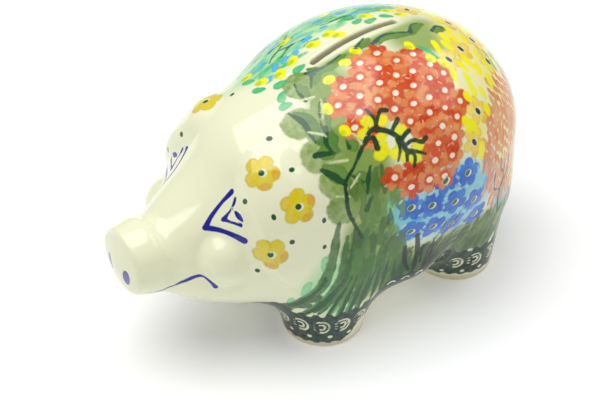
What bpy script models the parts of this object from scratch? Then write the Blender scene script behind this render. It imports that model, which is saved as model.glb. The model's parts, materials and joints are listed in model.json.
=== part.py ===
"""Glazed stoneware piggy bank with a coin slot and a rubber stopper in its belly.

Metres, +Z up, standing on z = 0. The snout points along -Y and the pig's left side is +X.
The pig is one smooth surface, described by a signed distance that is negative inside the clay.
The shells are cut from it: the barrel with its legs, and the head, each open at the neck.
"""
import math

import bpy
import numpy as np
from mathutils import Matrix, Vector

# ---- Driving dimensions, in metres ----

WALL = 0.0045                # thickness of the fired clay
GAP = 0.0003                 # clearance left between neighbouring pieces
BODY_STEP = 0.0052           # mesh spacing outside, on the body and on the head
HEAD_STEP = 0.0042
INNER_STEP = 0.0074          # mesh spacing inside, which nobody sees

NET_LOW = (-0.062, -0.094, -0.026)    # corners of the box in which the surfaces are meshed
NET_HIGH = (0.062, 0.094, 0.114)

BARREL_AT = (0.0, 0.0235, 0.0587)
BARREL_RADII = (0.0500, 0.0585, 0.0453)
BELLY_AT = (0.0, 0.0153, 0.0260)
BELLY_RADII = (0.0428, 0.0340, 0.0200)
BELLY_FLAT = 0.0090          # height of the flat under the belly
BELLY_EDGE = 0.003           # softness of the flat's edge
HEAD_AT = (0.0, -0.0280, 0.0509)
HEAD_RADII = (0.0368, 0.0269, 0.0354)
JAW_AT = (0.0, -0.0415, 0.0422)
JAW_RADII = (0.0264, 0.0290, 0.0224)
CHEEK_AT = (0.0175, -0.0513, 0.0475)
CHEEK_RADIUS = 0.0103
SNOUT_ROOT = (0.0, -0.0352, 0.0439)
SNOUT_TIP = (0.0, -0.0720, 0.0456)
SNOUT_ROOT_RADIUS = 0.0250
SNOUT_TIP_RADIUS = 0.0110
NOSE_AT = (0.0, -0.0779, 0.0476)
NOSE_RADIUS = 0.0122
NOSE_HALF_DEPTH = 0.0048
NOSE_ROUNDING = 0.0030
NOSE_TILT = math.radians(2.0)

# Widths of the soft fillets where each volume runs into the rest.
HEAD_BLEND = 0.018
JAW_BLEND = 0.014
SNOUT_BLEND = 0.012
NOSE_BLEND = 0.008
CHEEK_BLEND = 0.004
BELLY_BLEND = 0.012
LEG_BLEND = 0.014
HOLLOW_BLEND = 0.002

LEG_X = 0.0230
FRONT_LEG_Y = -0.0131
REAR_LEG_Y = 0.0501
LEG_FOOT_RADIUS = 0.0154
LEG_TOP_RADIUS = 0.0195
LEG_TOP = 0.0340             # height where the leg's cone ends inside the belly
LEG_SPLAY = 0.95             # x of the leg's top as a share of the foot's
SOLE_CUT = 0.0040            # how far the leg's cone runs on below the ground before it is cut

# The neck seam is a plane through this point, leaning forward towards the chest.
NECK_AT = (0.0, -0.0177, 0.0950)
NECK_LEAN = math.radians(15.5)

SLOT_Y = 0.0156
SLOT_LENGTH = 0.0385
SLOT_WIDTH = 0.0044
SLOT_FLOOR = 0.085           # the slot's cutter runs from here, inside, to above the back
SLOT_ABOVE = 0.115

PLUG_Y = 0.0185
HOLE_RADIUS = 0.0140
HOLE_DEPTH = 0.0120          # how far the hole's cutter runs in from the flat of the belly
SEAT_RADIUS = 0.0176         # flat ring around the hole that the flange covers

EAR_AXIS_Z = 0.0550          # ears and tail are laid out around this height
EAR_Y = -0.0345
EAR_ANGLE = math.radians(70.0)
EAR_HALF_WIDTH = 0.0135
EAR_HALF_ANGLE = math.radians(52.0)
EAR_THICKNESS = 0.0028
EAR_RIM = 0.0006
EAR_GAP = 0.0006             # wider than GAP, because both faces are faceted
EAR_CORNER = 2.4             # exponent of the ear's outline, 2 for an ellipse

TAIL_ROOT_Z = 0.0600
TAIL_COIL = 0.0068           # radius of the curl at its root, which shrinks by TAIL_CURL_IN to its tip
TAIL_CURL_IN = 0.62
TAIL_LIFT = 0.0005           # how far the tip stands off the rump
TAIL_ROOT_RADIUS = 0.0020
TAIL_TIP_RADIUS = 0.0015
TAIL_TURNS = 1.15


# ---- Distance functions ----

def ellipsoid(points, centre, radii):
    offset = points - np.array(centre)
    radii = np.array(radii)
    level = np.sqrt(((offset / radii) ** 2).sum(-1))
    slope = np.sqrt(((offset / radii ** 2) ** 2).sum(-1)) + 1e-9
    return level * (level - 1.0) / slope


def tapered_rod(points, start, end, start_radius, end_radius):
    start = np.array(start)
    along = np.array(end) - start
    share = np.clip(((points - start) * along).sum(-1) / (along ** 2).sum(), 0.0, 1.0)
    offset = points - start - share[..., None] * along
    return np.sqrt((offset ** 2).sum(-1)) - (start_radius + (end_radius - start_radius) * share)


def rounded_disc(points, centre, normal, radius, half_depth, rounding):
    offset = points - np.array(centre)
    depth = (offset * np.array(normal)).sum(-1)
    reach = np.sqrt(np.maximum((offset ** 2).sum(-1) - depth ** 2, 0.0))
    side = reach - (radius - rounding)
    face = np.abs(depth) - (half_depth - rounding)
    outside = np.sqrt(np.maximum(side, 0.0) ** 2 + np.maximum(face, 0.0) ** 2)
    return np.minimum(np.maximum(side, face), 0.0) + outside - rounding


def blend(first, second, width):
    """Union of two distances with a soft fillet."""
    closeness = np.maximum(width - np.abs(first - second), 0.0) / width
    return np.minimum(first, second) - closeness ** 2 * width * 0.25


def soft_cut(first, second, width):
    """Intersection of two distances with a soft edge."""
    return -blend(-first, -second, width)


def pig(points):
    """Signed distance to the pig's outside, with legs that run on below the ground."""
    points = np.concatenate([np.abs(points[..., :1]), points[..., 1:]], -1)
    nose_normal = (0.0, -math.cos(NOSE_TILT), -math.sin(NOSE_TILT))
    shape = ellipsoid(points, BARREL_AT, BARREL_RADII)
    shape = blend(shape, ellipsoid(points, HEAD_AT, HEAD_RADII), HEAD_BLEND)
    shape = blend(shape, ellipsoid(points, JAW_AT, JAW_RADII), JAW_BLEND)
    snout = tapered_rod(points, SNOUT_ROOT, SNOUT_TIP, SNOUT_ROOT_RADIUS, SNOUT_TIP_RADIUS)
    shape = blend(shape, snout, SNOUT_BLEND)
    nose = rounded_disc(points, NOSE_AT, nose_normal, NOSE_RADIUS, NOSE_HALF_DEPTH, NOSE_ROUNDING)
    shape = blend(shape, nose, NOSE_BLEND)
    shape = blend(shape, ellipsoid(points, CHEEK_AT, (CHEEK_RADIUS,) * 3), CHEEK_BLEND)
    belly = soft_cut(ellipsoid(points, BELLY_AT, BELLY_RADII), BELLY_FLAT - points[..., 2], BELLY_EDGE)
    shape = blend(shape, belly, BELLY_BLEND)
    for leg_y in (FRONT_LEG_Y, REAR_LEG_Y):
        taper = (LEG_TOP_RADIUS - LEG_FOOT_RADIUS) / LEG_TOP
        top = (LEG_X * LEG_SPLAY, leg_y, LEG_TOP)
        bottom = (LEG_X, leg_y, -SOLE_CUT)
        leg = tapered_rod(points, bottom, top, LEG_FOOT_RADIUS - SOLE_CUT * taper, LEG_TOP_RADIUS)
        shape = blend(shape, leg, LEG_BLEND)
    return shape


def hollow(points):
    """Signed distance to the space inside, which keeps a sole of clay in each leg."""
    return soft_cut(pig(points) + WALL, WALL - points[..., 2], HOLLOW_BLEND)


# ---- Meshing ----

def gradient(field, points):
    nudge = 0.0001
    slopes = []
    for axis in range(3):
        step = np.zeros(3)
        step[axis] = nudge
        slopes.append((field(points + step) - field(points - step)) / (2.0 * nudge))
    return np.stack(slopes, -1)


def onto_surface(field, points, limit):
    """Move points along the slope of the field until they lie on its zero level."""
    for _ in range(6):
        slope = gradient(field, points)
        length = np.maximum((slope ** 2).sum(-1, keepdims=True), 0.05)
        move = -field(points)[..., None] * slope / length
        size = np.sqrt((move ** 2).sum(-1, keepdims=True))
        points = points + move * np.minimum(1.0, limit / np.maximum(size, 1e-9))
    return points


def surface_net(field, low, high, step):
    """Vertices and quads of the field's zero level, one vertex in each grid cell it crosses."""
    axes = [np.arange(start, end + step, step) for start, end in zip(low, high)]
    inside = field(np.stack(np.meshgrid(*axes, indexing="ij"), -1)) < 0.0
    corners = np.zeros([n - 1 for n in inside.shape], int)
    for dx in (0, 1):
        for dy in (0, 1):
            for dz in (0, 1):
                nx, ny, nz = corners.shape
                corners += inside[dx:dx + nx, dy:dy + ny, dz:dz + nz]
    cells = np.argwhere((corners > 0) & (corners < 8))
    number = np.full(corners.shape, -1)
    number[tuple(cells.T)] = np.arange(len(cells))
    points = np.array(low) + (cells + 0.5) * step
    quads = []
    for axis in range(3):
        across, up = (axis + 1) % 3, (axis + 2) % 3
        ahead = np.take(inside, range(1, inside.shape[axis]), axis)
        behind = np.take(inside, range(inside.shape[axis] - 1), axis)
        for leaving in (True, False):
            edges = np.argwhere((behind & ~ahead) if leaving else (ahead & ~behind))
            ring = []
            for shift_across, shift_up in ((0, 0), (-1, 0), (-1, -1), (0, -1)):
                cell = edges.copy()
                cell[:, across] += shift_across
                cell[:, up] += shift_up
                ring.append(number[tuple(cell.T)])
            quads.append(np.stack(ring if leaving else ring[::-1], -1))
    return points, np.concatenate(quads)


def relax(field, points, quads, rounds, limit):
    """Even out the spacing of a surface's vertices and keep them on the surface."""
    for _ in range(rounds):
        total = np.zeros_like(points)
        count = np.zeros(len(points))
        for side in range(4):
            first, second = quads[:, side], quads[:, (side + 1) % 4]
            np.add.at(total, first, points[second])
            np.add.at(total, second, points[first])
            np.add.at(count, first, 1)
            np.add.at(count, second, 1)
        points = onto_surface(field, points * 0.5 + total / count[:, None] * 0.5, limit)
    return points


def skin(field, step):
    points, quads = surface_net(field, NET_LOW, NET_HIGH, step)
    points = onto_surface(field, points, step)
    return relax(field, points, quads, 3, step), quads


def radius_around_axis(field, y, angle):
    """Distance from the long axis to the surface, in the direction angle from straight up."""
    near = np.zeros_like(y)
    far = np.full_like(y, 0.075)
    for _ in range(30):
        middle = (near + far) / 2.0
        points = np.stack([middle * np.sin(angle), y, EAR_AXIS_Z + middle * np.cos(angle)], -1)
        inside = field(points) < 0.0
        near = np.where(inside, middle, near)
        far = np.where(inside, far, middle)
    return np.stack([near * np.sin(angle), y, EAR_AXIS_Z + near * np.cos(angle)], -1)


# ---- Blender objects ----

def material(name, colour, roughness):
    new = bpy.data.materials.new(name)
    new.use_nodes = True
    shader = new.node_tree.nodes["Principled BSDF"]
    shader.inputs["Base Color"].default_value = (*colour, 1.0)
    shader.inputs["Roughness"].default_value = roughness
    shader.inputs["Metallic"].default_value = 0.0
    return new


def solid(name, points, faces, finish):
    mesh = bpy.data.meshes.new(name)
    mesh.from_pydata([tuple(map(float, p)) for p in points], [], [tuple(map(int, f)) for f in faces])
    mesh.validate()
    mesh.shade_smooth()
    mesh.set_sharp_from_angle(angle=math.radians(50.0))
    if finish:
        mesh.materials.append(finish)
    new = bpy.data.objects.new(name, mesh)
    bpy.context.scene.collection.objects.link(new)
    return new


def cutter(name, points, faces):
    new = solid(name, points, faces, None)
    new.hide_render = True
    new.display_type = "WIRE"
    return new


def cut(target, tool):
    boolean = target.modifiers.new("cut_" + tool.name, "BOOLEAN")
    boolean.operation = "DIFFERENCE"
    boolean.solver = "EXACT"
    boolean.object = tool


def box_cutter(name, low, high, turn=Matrix()):
    ends = list(zip(low, high))
    corners = [Vector((x, y, z)) for x in ends[0] for y in ends[1] for z in ends[2]]
    faces = [(0, 1, 3, 2), (4, 6, 7, 5), (0, 4, 5, 1), (2, 3, 7, 6), (0, 2, 6, 4), (1, 5, 7, 3)]
    return cutter(name, [turn @ corner for corner in corners], faces)


def turned(profile, centre_y, sides=36):
    """Points and faces of a solid of revolution about a vertical axis at centre_y.

    The profile is a list of (radius, z) from the axis at the bottom, round the outside, to the axis
    at the top. Its first and last radii are 0.
    """
    points = [(0.0, centre_y, profile[0][1])]
    for radius, z in profile[1:-1]:
        for side in range(sides):
            angle = 2.0 * math.pi * side / sides
            points.append((radius * math.cos(angle), centre_y + radius * math.sin(angle), z))
    points.append((0.0, centre_y, profile[-1][1]))
    rings = len(profile) - 2
    last = len(points) - 1
    faces = []
    for side in range(sides):
        after = (side + 1) % sides
        faces.append((0, 1 + after, 1 + side))
        for ring in range(rings - 1):
            lower, upper = 1 + ring * sides, 1 + (ring + 1) * sides
            faces.append((lower + side, lower + after, upper + after, upper + side))
        top = 1 + (rings - 1) * sides
        faces.append((top + side, top + after, last))
    return points, faces


def tube(path, radii, sides=10):
    """Points and faces of a round rod along a path, with domed ends."""
    tangents = np.gradient(path, axis=0)
    tangents /= np.linalg.norm(tangents, axis=1)[:, None]
    side_way = np.array([0.0, 1.0, 0.0])
    points, faces = [], []
    for centre, tangent, radius in zip(path, tangents, radii):
        first = np.cross(tangent, side_way)
        first /= np.linalg.norm(first)
        second = np.cross(tangent, first)
        for side in range(sides):
            angle = 2.0 * math.pi * side / sides
            points.append(centre + radius * (math.cos(angle) * first + math.sin(angle) * second))
    for ring in range(len(path) - 1):
        lower, upper = ring * sides, (ring + 1) * sides
        for side in range(sides):
            after = (side + 1) % sides
            faces.append((lower + side, lower + after, upper + after, upper + side))
    points.append(path[0] - tangents[0] * radii[0] * 0.5)
    points.append(path[-1] + tangents[-1] * radii[-1] * 0.8)
    end = (len(path) - 1) * sides
    for side in range(sides):
        after = (side + 1) % sides
        faces.append((len(points) - 2, after, side))
        faces.append((len(points) - 1, end + side, end + after))
    return points, faces


# ---- The pieces ----

def shell_cutters():
    """The tools that open the shells: ground, neck, coin slot and belly hole."""
    neck = Matrix.Translation(NECK_AT) @ Matrix.Rotation(-NECK_LEAN, 4, "X")
    far = 0.2
    ground = box_cutter("ground_cut", (-far, -far, -far), (far, far, 0.0))
    front = box_cutter("front_cut", (-far, -far, -far), (far, GAP / 2.0, far), neck)
    back = box_cutter("back_cut", (-far, -GAP / 2.0, -far), (far, far, far), neck)
    outline = []
    half = SLOT_LENGTH / 2.0 - SLOT_WIDTH / 2.0
    arc_points = 8
    for end in (1, -1):
        for step in range(arc_points + 1):
            angle = math.pi * step / arc_points + (0.0 if end > 0 else math.pi)
            x = SLOT_WIDTH / 2.0 * math.cos(angle)
            y = SLOT_WIDTH / 2.0 * math.sin(angle)
            outline.append((x, SLOT_Y + end * half + y))
    count = len(outline)
    points = [(x, y, SLOT_FLOOR) for x, y in outline] + [(x, y, SLOT_ABOVE) for x, y in outline]
    faces = [tuple(reversed(range(count))), tuple(range(count, 2 * count))]
    faces += [(i, (i + 1) % count, count + (i + 1) % count, count + i) for i in range(count)]
    slot = cutter("slot_cut", points, faces)
    below = -SOLE_CUT
    inside = BELLY_FLAT + HOLE_DEPTH
    steps = [(0.0, below), (SEAT_RADIUS, below), (SEAT_RADIUS, BELLY_FLAT), (HOLE_RADIUS, BELLY_FLAT),
             (HOLE_RADIUS, inside), (0.0, inside)]
    hole = cutter("hole_cut", *turned(steps, PLUG_Y))
    return ground, front, back, slot, hole


def shell(name, step, colour, tools):
    """The hollow pig as one closed wall, from which the tools cut away what isn't this piece."""
    outer_points, outer_quads = skin(pig, step)
    inner_points, inner_quads = skin(hollow, INNER_STEP)
    points = np.concatenate([outer_points, inner_points])
    faces = np.concatenate([outer_quads, inner_quads[:, ::-1] + len(outer_points)])
    clay = solid(name, points, faces, material(name, colour, 0.15))
    for tool in tools:
        cut(clay, tool)


def shells():
    """The hollow barrel with its legs, and the hollow head, which meet at the neck."""
    ground, front, back, slot, hole = shell_cutters()
    shell("body_shell", BODY_STEP, (0.78, 0.76, 0.60), (ground, front, slot, hole))
    shell("head_shell", HEAD_STEP, (0.85, 0.86, 0.70), (ground, back))


def ear(name, side):
    """A flap of clay laid on the side of the head, thick in the middle and thin at its edge."""
    rings, sides = 6, 28
    share = np.concatenate([[0.0], np.repeat(np.arange(1, rings + 1) / rings, sides)])
    turn = np.concatenate([[0.0], np.tile(np.arange(sides) * 2.0 * math.pi / sides, rings)])
    across, down = np.cos(turn), np.sin(turn)
    stretch = share * (np.abs(across) ** EAR_CORNER + np.abs(down) ** EAR_CORNER) ** (-1.0 / EAR_CORNER)
    y = EAR_Y + EAR_HALF_WIDTH * stretch * across
    angle = EAR_ANGLE + EAR_HALF_ANGLE * stretch * down
    base = radius_around_axis(pig, y, angle)
    normal = gradient(pig, base)
    normal /= np.linalg.norm(normal, axis=1)[:, None]
    fall = np.clip((1.0 - share) / 0.5, 0.0, 1.0)
    height = EAR_RIM + EAR_THICKNESS * fall ** 2 * (3.0 - 2.0 * fall)
    under = base + normal * EAR_GAP
    over = base + normal * (EAR_GAP + height)[:, None]
    points = np.concatenate([over, under])
    points[:, 0] *= side
    faces = []
    lower = len(over)
    for step in range(sides):
        after = (step + 1) % sides
        faces.append((0, 1 + step, 1 + after))
        faces.append((lower, lower + 1 + after, lower + 1 + step))
        for ring in range(rings - 1):
            near, far = 1 + ring * sides, 1 + (ring + 1) * sides
            faces.append((near + step, far + step, far + after, near + after))
            faces.append((lower + near + step, lower + near + after, lower + far + after, lower + far + step))
        edge = 1 + (rings - 1) * sides
        faces.append((edge + step, lower + edge + step, lower + edge + after, edge + after))
    if side * facing_x(points, faces[0]) < 0:
        faces = [face[::-1] for face in faces]
    return solid(name, points, faces, material(name, (0.85, 0.86, 0.70), 0.15))


def facing_x(points, face):
    """The x part of a face's normal: positive if it looks towards the pig's left side."""
    first, second, third = (points[i] for i in face[:3])
    return np.cross(second - first, third - first)[0]


def tail():
    """A tapering curl of clay against the rump."""
    turns = np.linspace(0.0, TAIL_TURNS, 24)
    share = turns / TAIL_TURNS
    coil = TAIL_COIL * (1.0 - TAIL_CURL_IN * share)
    angle = math.pi + turns * 2.0 * math.pi
    x = coil * np.sin(angle)
    z = TAIL_ROOT_Z + coil * np.cos(angle)
    radii = TAIL_ROOT_RADIUS + (TAIL_TIP_RADIUS - TAIL_ROOT_RADIUS) * share
    path = np.stack([x, np.full_like(x, 0.080), z], -1)
    for _ in range(12):
        clearance = pig(path) - radii - GAP * 2.0
        path[:, 1] -= clearance
    path[:, 1] += TAIL_LIFT * share ** 2
    points, faces = tube(path, radii)
    return solid("tail", points, faces, material("tail", (0.85, 0.86, 0.70), 0.15))


def stopper():
    """A soft rubber plug: flange and pull outside, a groove for the clay wall, a bead inside."""
    flange_top = BELLY_FLAT - GAP
    flange_radius = SEAT_RADIUS - 0.0008
    groove = HOLE_RADIUS - 0.0008
    bead = HOLE_RADIUS - GAP
    wall_top = BELLY_FLAT + WALL
    hollow_radius = 0.0105
    profile = [
        (0.0, flange_top - 0.0020),
        (flange_radius - 0.0008, flange_top - 0.0020),
        (flange_radius, flange_top - 0.0012),
        (flange_radius, flange_top - 0.0004),
        (flange_radius - 0.0004, flange_top),
        (groove, flange_top),
        (groove, wall_top + 0.0003),
        (bead, wall_top + 0.0012),
        (bead, wall_top + 0.0022),
        (bead - 0.0016, wall_top + 0.0050),
        (hollow_radius, wall_top + 0.0050),
        (hollow_radius - 0.0010, flange_top + 0.0008),
        (0.0, flange_top + 0.0008),
    ]
    points, faces = turned(profile, PLUG_Y)
    plug = solid("stopper", points, faces, material("stopper", (0.55, 0.54, 0.50), 0.6))
    half_width, half_length, depth = 0.0012, 0.0055, 0.0017
    top = flange_top - 0.0015
    tab = box_cutter("pull_tab", (-half_width, PLUG_Y - half_length, top - depth - 0.0005),
                     (half_width, PLUG_Y + half_length, top))
    join = plug.modifiers.new("pull_tab", "BOOLEAN")
    join.operation = "UNION"
    join.solver = "EXACT"
    join.object = tab
    return plug


def main():
    for old in list(bpy.data.objects):
        bpy.data.objects.remove(old, do_unlink=True)
    shells()
    ear("left_ear", 1)
    ear("right_ear", -1)
    tail()
    stopper()


main()
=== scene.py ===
"""Looks of a hand-painted stoneware piggy bank: clay shells, underglaze painting, glaze and rubber plug.

The frame is the CAD model's: the snout points along -Y, the pig's left side is +X, it stands on z = 0.
The clay is a signed distance in metres, negative inside, and the shells are meshed from it.
The painting is laid on the meshes' vertices as layers of brush marks. Each layer holds, for each vertex, the
distance in millimetres to the nearest mark's edge and that mark's colour, and the glaze material draws them.
"""
import json
import math

import bmesh
import bpy
import numpy as np
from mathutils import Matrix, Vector


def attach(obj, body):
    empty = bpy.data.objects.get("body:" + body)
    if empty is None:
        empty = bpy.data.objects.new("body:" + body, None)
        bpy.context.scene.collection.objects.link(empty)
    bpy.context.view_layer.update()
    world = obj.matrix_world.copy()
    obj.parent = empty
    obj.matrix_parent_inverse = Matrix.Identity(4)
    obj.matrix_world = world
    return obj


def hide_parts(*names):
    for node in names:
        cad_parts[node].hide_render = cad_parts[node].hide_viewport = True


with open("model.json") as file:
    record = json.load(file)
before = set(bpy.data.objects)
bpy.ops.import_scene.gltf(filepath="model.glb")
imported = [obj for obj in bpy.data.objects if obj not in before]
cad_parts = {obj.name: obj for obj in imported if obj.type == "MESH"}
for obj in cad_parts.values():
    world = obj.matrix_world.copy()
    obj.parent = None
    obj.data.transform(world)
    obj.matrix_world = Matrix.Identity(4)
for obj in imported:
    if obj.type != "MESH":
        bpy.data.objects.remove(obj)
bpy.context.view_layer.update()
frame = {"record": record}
OPENING = {opening["name"]: opening["box_m"] for opening in frame["record"]["physics"]["openings"]}

# ---- Shape: the same driving dimensions as the CAD model ----

WALL = 0.0045
NET_STEP = 0.00225           # spacing of the coarse mesh, which has to stay below WALL / sqrt(3)
FINE = 3                     # how many times finer the visible skin is

BARREL_AT = (0.0, 0.0235, 0.0587)
BARREL_RADII = (0.0500, 0.0585, 0.0453)
BELLY_AT = (0.0, 0.0153, 0.0260)
BELLY_RADII = (0.0428, 0.0340, 0.0200)
BELLY_FLAT = 0.0090
BELLY_EDGE = 0.003
HEAD_AT = (0.0, -0.0280, 0.0509)
HEAD_RADII = (0.0368, 0.0269, 0.0354)
JAW_AT = (0.0, -0.0415, 0.0422)
JAW_RADII = (0.0264, 0.0290, 0.0224)
CHEEK_AT = (0.0175, -0.0513, 0.0475)
CHEEK_RADIUS = 0.0103
SNOUT_ROOT = (0.0, -0.0352, 0.0439)
SNOUT_TIP = (0.0, -0.0720, 0.0456)
SNOUT_ROOT_RADIUS = 0.0250
SNOUT_TIP_RADIUS = 0.0110
NOSE_AT = (0.0, -0.0779, 0.0476)
NOSE_RADIUS = 0.0122
NOSE_HALF_DEPTH = 0.0048
NOSE_ROUNDING = 0.0018
NOSE_TILT = math.radians(2.0)

HEAD_BLEND = 0.018
JAW_BLEND = 0.014
SNOUT_BLEND = 0.012
NOSE_BLEND = 0.008
BELLY_BLEND = 0.012
LEG_BLEND = 0.014
HOLLOW_BLEND = 0.002

LEG_X = 0.0230
LEG_YS = (-0.0131, 0.0501)
LEG_FOOT_RADIUS = 0.0154
LEG_TOP_RADIUS = 0.0195
LEG_TOP = 0.0340
LEG_SPLAY = 0.95
SOLE_CUT = 0.0040

NECK_AT = (0.0, -0.0177, 0.0950)
NECK_LEAN = math.radians(15.5)

PLUG_Y = 0.0185
HOLE_RADIUS = 0.0140
SEAT_RADIUS = 0.0176

AXIS_Z = 0.0550
EAR_Y = -0.0345
EAR_ANGLE = math.radians(70.0)
EAR_HALF_WIDTH = 0.0135
EAR_HALF_ANGLE = math.radians(52.0)
EAR_THICKNESS = 0.0028
EAR_CORNER = 2.4

TAIL_ROOT_Z = 0.0600
TAIL_COIL = 0.0068
TAIL_CURL_IN = 0.62
TAIL_ROOT_RADIUS = 0.0020
TAIL_TIP_RADIUS = 0.0015
TAIL_TURNS = 1.15

# The stopper, from the belly's flat upwards.
PLUG_DROP = 0.0003           # how far the flange stands below the seat
FLANGE_HALF = 0.0010
FLANGE_GAP = 0.0008          # clearance round the flange
FLANGE_ROUNDING = 0.0009
GROOVE_GAP = 0.0008
GROOVE_HALF = 0.0040
GROOVE_ROUNDING = 0.0004
BEAD_GAP = 0.0003
BEAD_RISE = 0.0026
BEAD_HALF = 0.0023
BEAD_ROUNDING = 0.0016
CUP_RADIUS = 0.0105
CUP_RISE = 0.0040
CUP_HALF = 0.0080
CUP_ROUNDING = 0.0015
TAB_DROP = 0.0024
TAB_HALF_SIZES = (0.0014, 0.0058, 0.0013)
TAB_ROUNDING = 0.0006
TAB_BLEND = 0.0010
PLUG_BLEND = 0.0008
RING_RADIUS = 0.0128         # the moulded line on the flange's underside
RING_DROP = 0.0020
RING_DEPTH = 0.0005
RING_EDGE = 0.0004
SMALL_STEP = 0.0011          # spacing of the coarse mesh of tail and stopper

# What glazing and modelling by hand add to the cast shape.
FOOT_EDGE = 0.0016
LIP_EDGE = 0.0011            # softness of the coin slot's lips
GLAZE_IN_SLOT = 0.0008       # how far glaze closes the coin slot on each side
SEAT_EDGE = 0.0010
ROLL_CREST = 0.80            # the rolled front edge of an ear, by its share of the way to the outline
ROLL_HALF_WIDTH = 0.15
ROLL_HEIGHT = 0.0006
TROUGH_TOP = (0.0160, -0.0465, 0.0733)     # the soft trough in front of the eye, down to the cheek
TROUGH_FOOT = (0.0185, -0.0626, 0.0544)
TROUGH_DEPTH = 0.0013
TROUGH_RADIUS = 0.0070
CHEEK_EDGE = 0.0018          # softness of the crease round the cheek
CHEEK_GROOVE = 0.0007        # how far the clay sinks round the cheek
CHEEK_GROOVE_WIDTH = 0.0030


def ellipsoid(points, centre, radii):
    """Signed distance to an ellipsoid, close enough near its surface."""
    offset = points - np.array(centre)
    radii = np.array(radii)
    level = np.sqrt(((offset / radii) ** 2).sum(-1))
    slope = np.sqrt(((offset / radii ** 2) ** 2).sum(-1)) + 1e-9
    return level * (level - 1.0) / slope


def tapered_rod(points, start, end, start_radius, end_radius):
    start = np.array(start)
    along = np.array(end) - start
    share = np.clip(((points - start) * along).sum(-1) / (along ** 2).sum(), 0.0, 1.0)
    offset = points - start - share[..., None] * along
    return np.sqrt((offset ** 2).sum(-1)) - (start_radius + (end_radius - start_radius) * share)


def rounded_disc(points, centre, normal, radius, half_depth, rounding):
    offset = points - np.array(centre)
    depth = (offset * np.array(normal)).sum(-1)
    reach = np.sqrt(np.maximum((offset ** 2).sum(-1) - depth ** 2, 0.0))
    side = reach - (radius - rounding)
    face = np.abs(depth) - (half_depth - rounding)
    outside = np.sqrt(np.maximum(side, 0.0) ** 2 + np.maximum(face, 0.0) ** 2)
    return np.minimum(np.maximum(side, face), 0.0) + outside - rounding


def rounded_box(points, centre, half_sizes, rounding):
    offset = np.abs(points - np.array(centre)) - (np.array(half_sizes) - rounding)
    outside = np.sqrt((np.maximum(offset, 0.0) ** 2).sum(-1))
    return outside + np.minimum(offset.max(-1), 0.0) - rounding


def blend(first, second, width):
    """Union of two distances with a soft fillet."""
    closeness = np.maximum(width - np.abs(first - second), 0.0) / width
    return np.minimum(first, second) - closeness ** 2 * width * 0.25


def soft_cut(first, second, width):
    """Intersection of two distances with a soft edge."""
    return -blend(-first, -second, width)


def smooth(value):
    value = np.clip(value, 0.0, 1.0)
    return value * value * (3.0 - 2.0 * value)


def pig(points):
    """Signed distance to the pig's outside without its ears, with legs that run on below the ground."""
    points = np.concatenate([np.abs(points[..., :1]), points[..., 1:]], -1)
    nose_normal = (0.0, -math.cos(NOSE_TILT), -math.sin(NOSE_TILT))
    shape = ellipsoid(points, BARREL_AT, BARREL_RADII)
    shape = blend(shape, ellipsoid(points, HEAD_AT, HEAD_RADII), HEAD_BLEND)
    shape = blend(shape, ellipsoid(points, JAW_AT, JAW_RADII), JAW_BLEND)
    snout = tapered_rod(points, SNOUT_ROOT, SNOUT_TIP, SNOUT_ROOT_RADIUS, SNOUT_TIP_RADIUS)
    shape = blend(shape, snout, SNOUT_BLEND)
    nose = rounded_disc(points, NOSE_AT, nose_normal, NOSE_RADIUS, NOSE_HALF_DEPTH, NOSE_ROUNDING)
    shape = blend(shape, nose, NOSE_BLEND)
    trough = tapered_rod(points, TROUGH_TOP, TROUGH_FOOT, 0.0, 0.0) / TROUGH_RADIUS
    cheek = ellipsoid(points, CHEEK_AT, (CHEEK_RADIUS,) * 3)
    groove = CHEEK_GROOVE * np.exp(-(cheek / CHEEK_GROOVE_WIDTH) ** 2)
    shape = blend(shape + TROUGH_DEPTH * np.exp(-trough ** 2) + groove, cheek, CHEEK_EDGE)
    belly = soft_cut(ellipsoid(points, BELLY_AT, BELLY_RADII), BELLY_FLAT - points[..., 2], BELLY_EDGE)
    shape = blend(shape, belly, BELLY_BLEND)
    for leg_y in LEG_YS:
        taper = (LEG_TOP_RADIUS - LEG_FOOT_RADIUS) / LEG_TOP
        top = (LEG_X * LEG_SPLAY, leg_y, LEG_TOP)
        bottom = (LEG_X, leg_y, -SOLE_CUT)
        leg = tapered_rod(points, bottom, top, LEG_FOOT_RADIUS - SOLE_CUT * taper, LEG_TOP_RADIUS)
        shape = blend(shape, leg, LEG_BLEND)
    return shape


def ear_share(points):
    """0 at the middle of an ear and 1 on its outline, by the place along and around the pig's long axis."""
    angle = np.arctan2(np.abs(points[..., 0]), points[..., 2] - AXIS_Z)
    across = np.abs((points[..., 1] - EAR_Y) / EAR_HALF_WIDTH)
    down = np.abs((angle - EAR_ANGLE) / EAR_HALF_ANGLE)
    return (across ** EAR_CORNER + down ** EAR_CORNER) ** (1.0 / EAR_CORNER)


def with_ears(points):
    """Signed distance to the outside with the ears laid on, thicker and steeper at the front than behind."""
    share = ear_share(points)
    front = smooth((EAR_Y - points[..., 1]) / EAR_HALF_WIDTH * 0.5 + 0.5)
    fall = 0.75 - 0.48 * front
    relief = EAR_THICKNESS * (0.6 + 0.55 * front) * smooth((1.0 - share) / fall)
    roll = ROLL_HEIGHT * smooth(1.0 - np.abs(share - ROLL_CREST) / ROLL_HALF_WIDTH)
    return pig(points) - relief - roll * smooth(front * 2.0 - 0.8)


def hollow(points):
    """Signed distance to the space inside, which keeps a sole of clay in each leg."""
    return soft_cut(pig(points) + WALL, WALL - points[..., 2], HOLLOW_BLEND)


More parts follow.
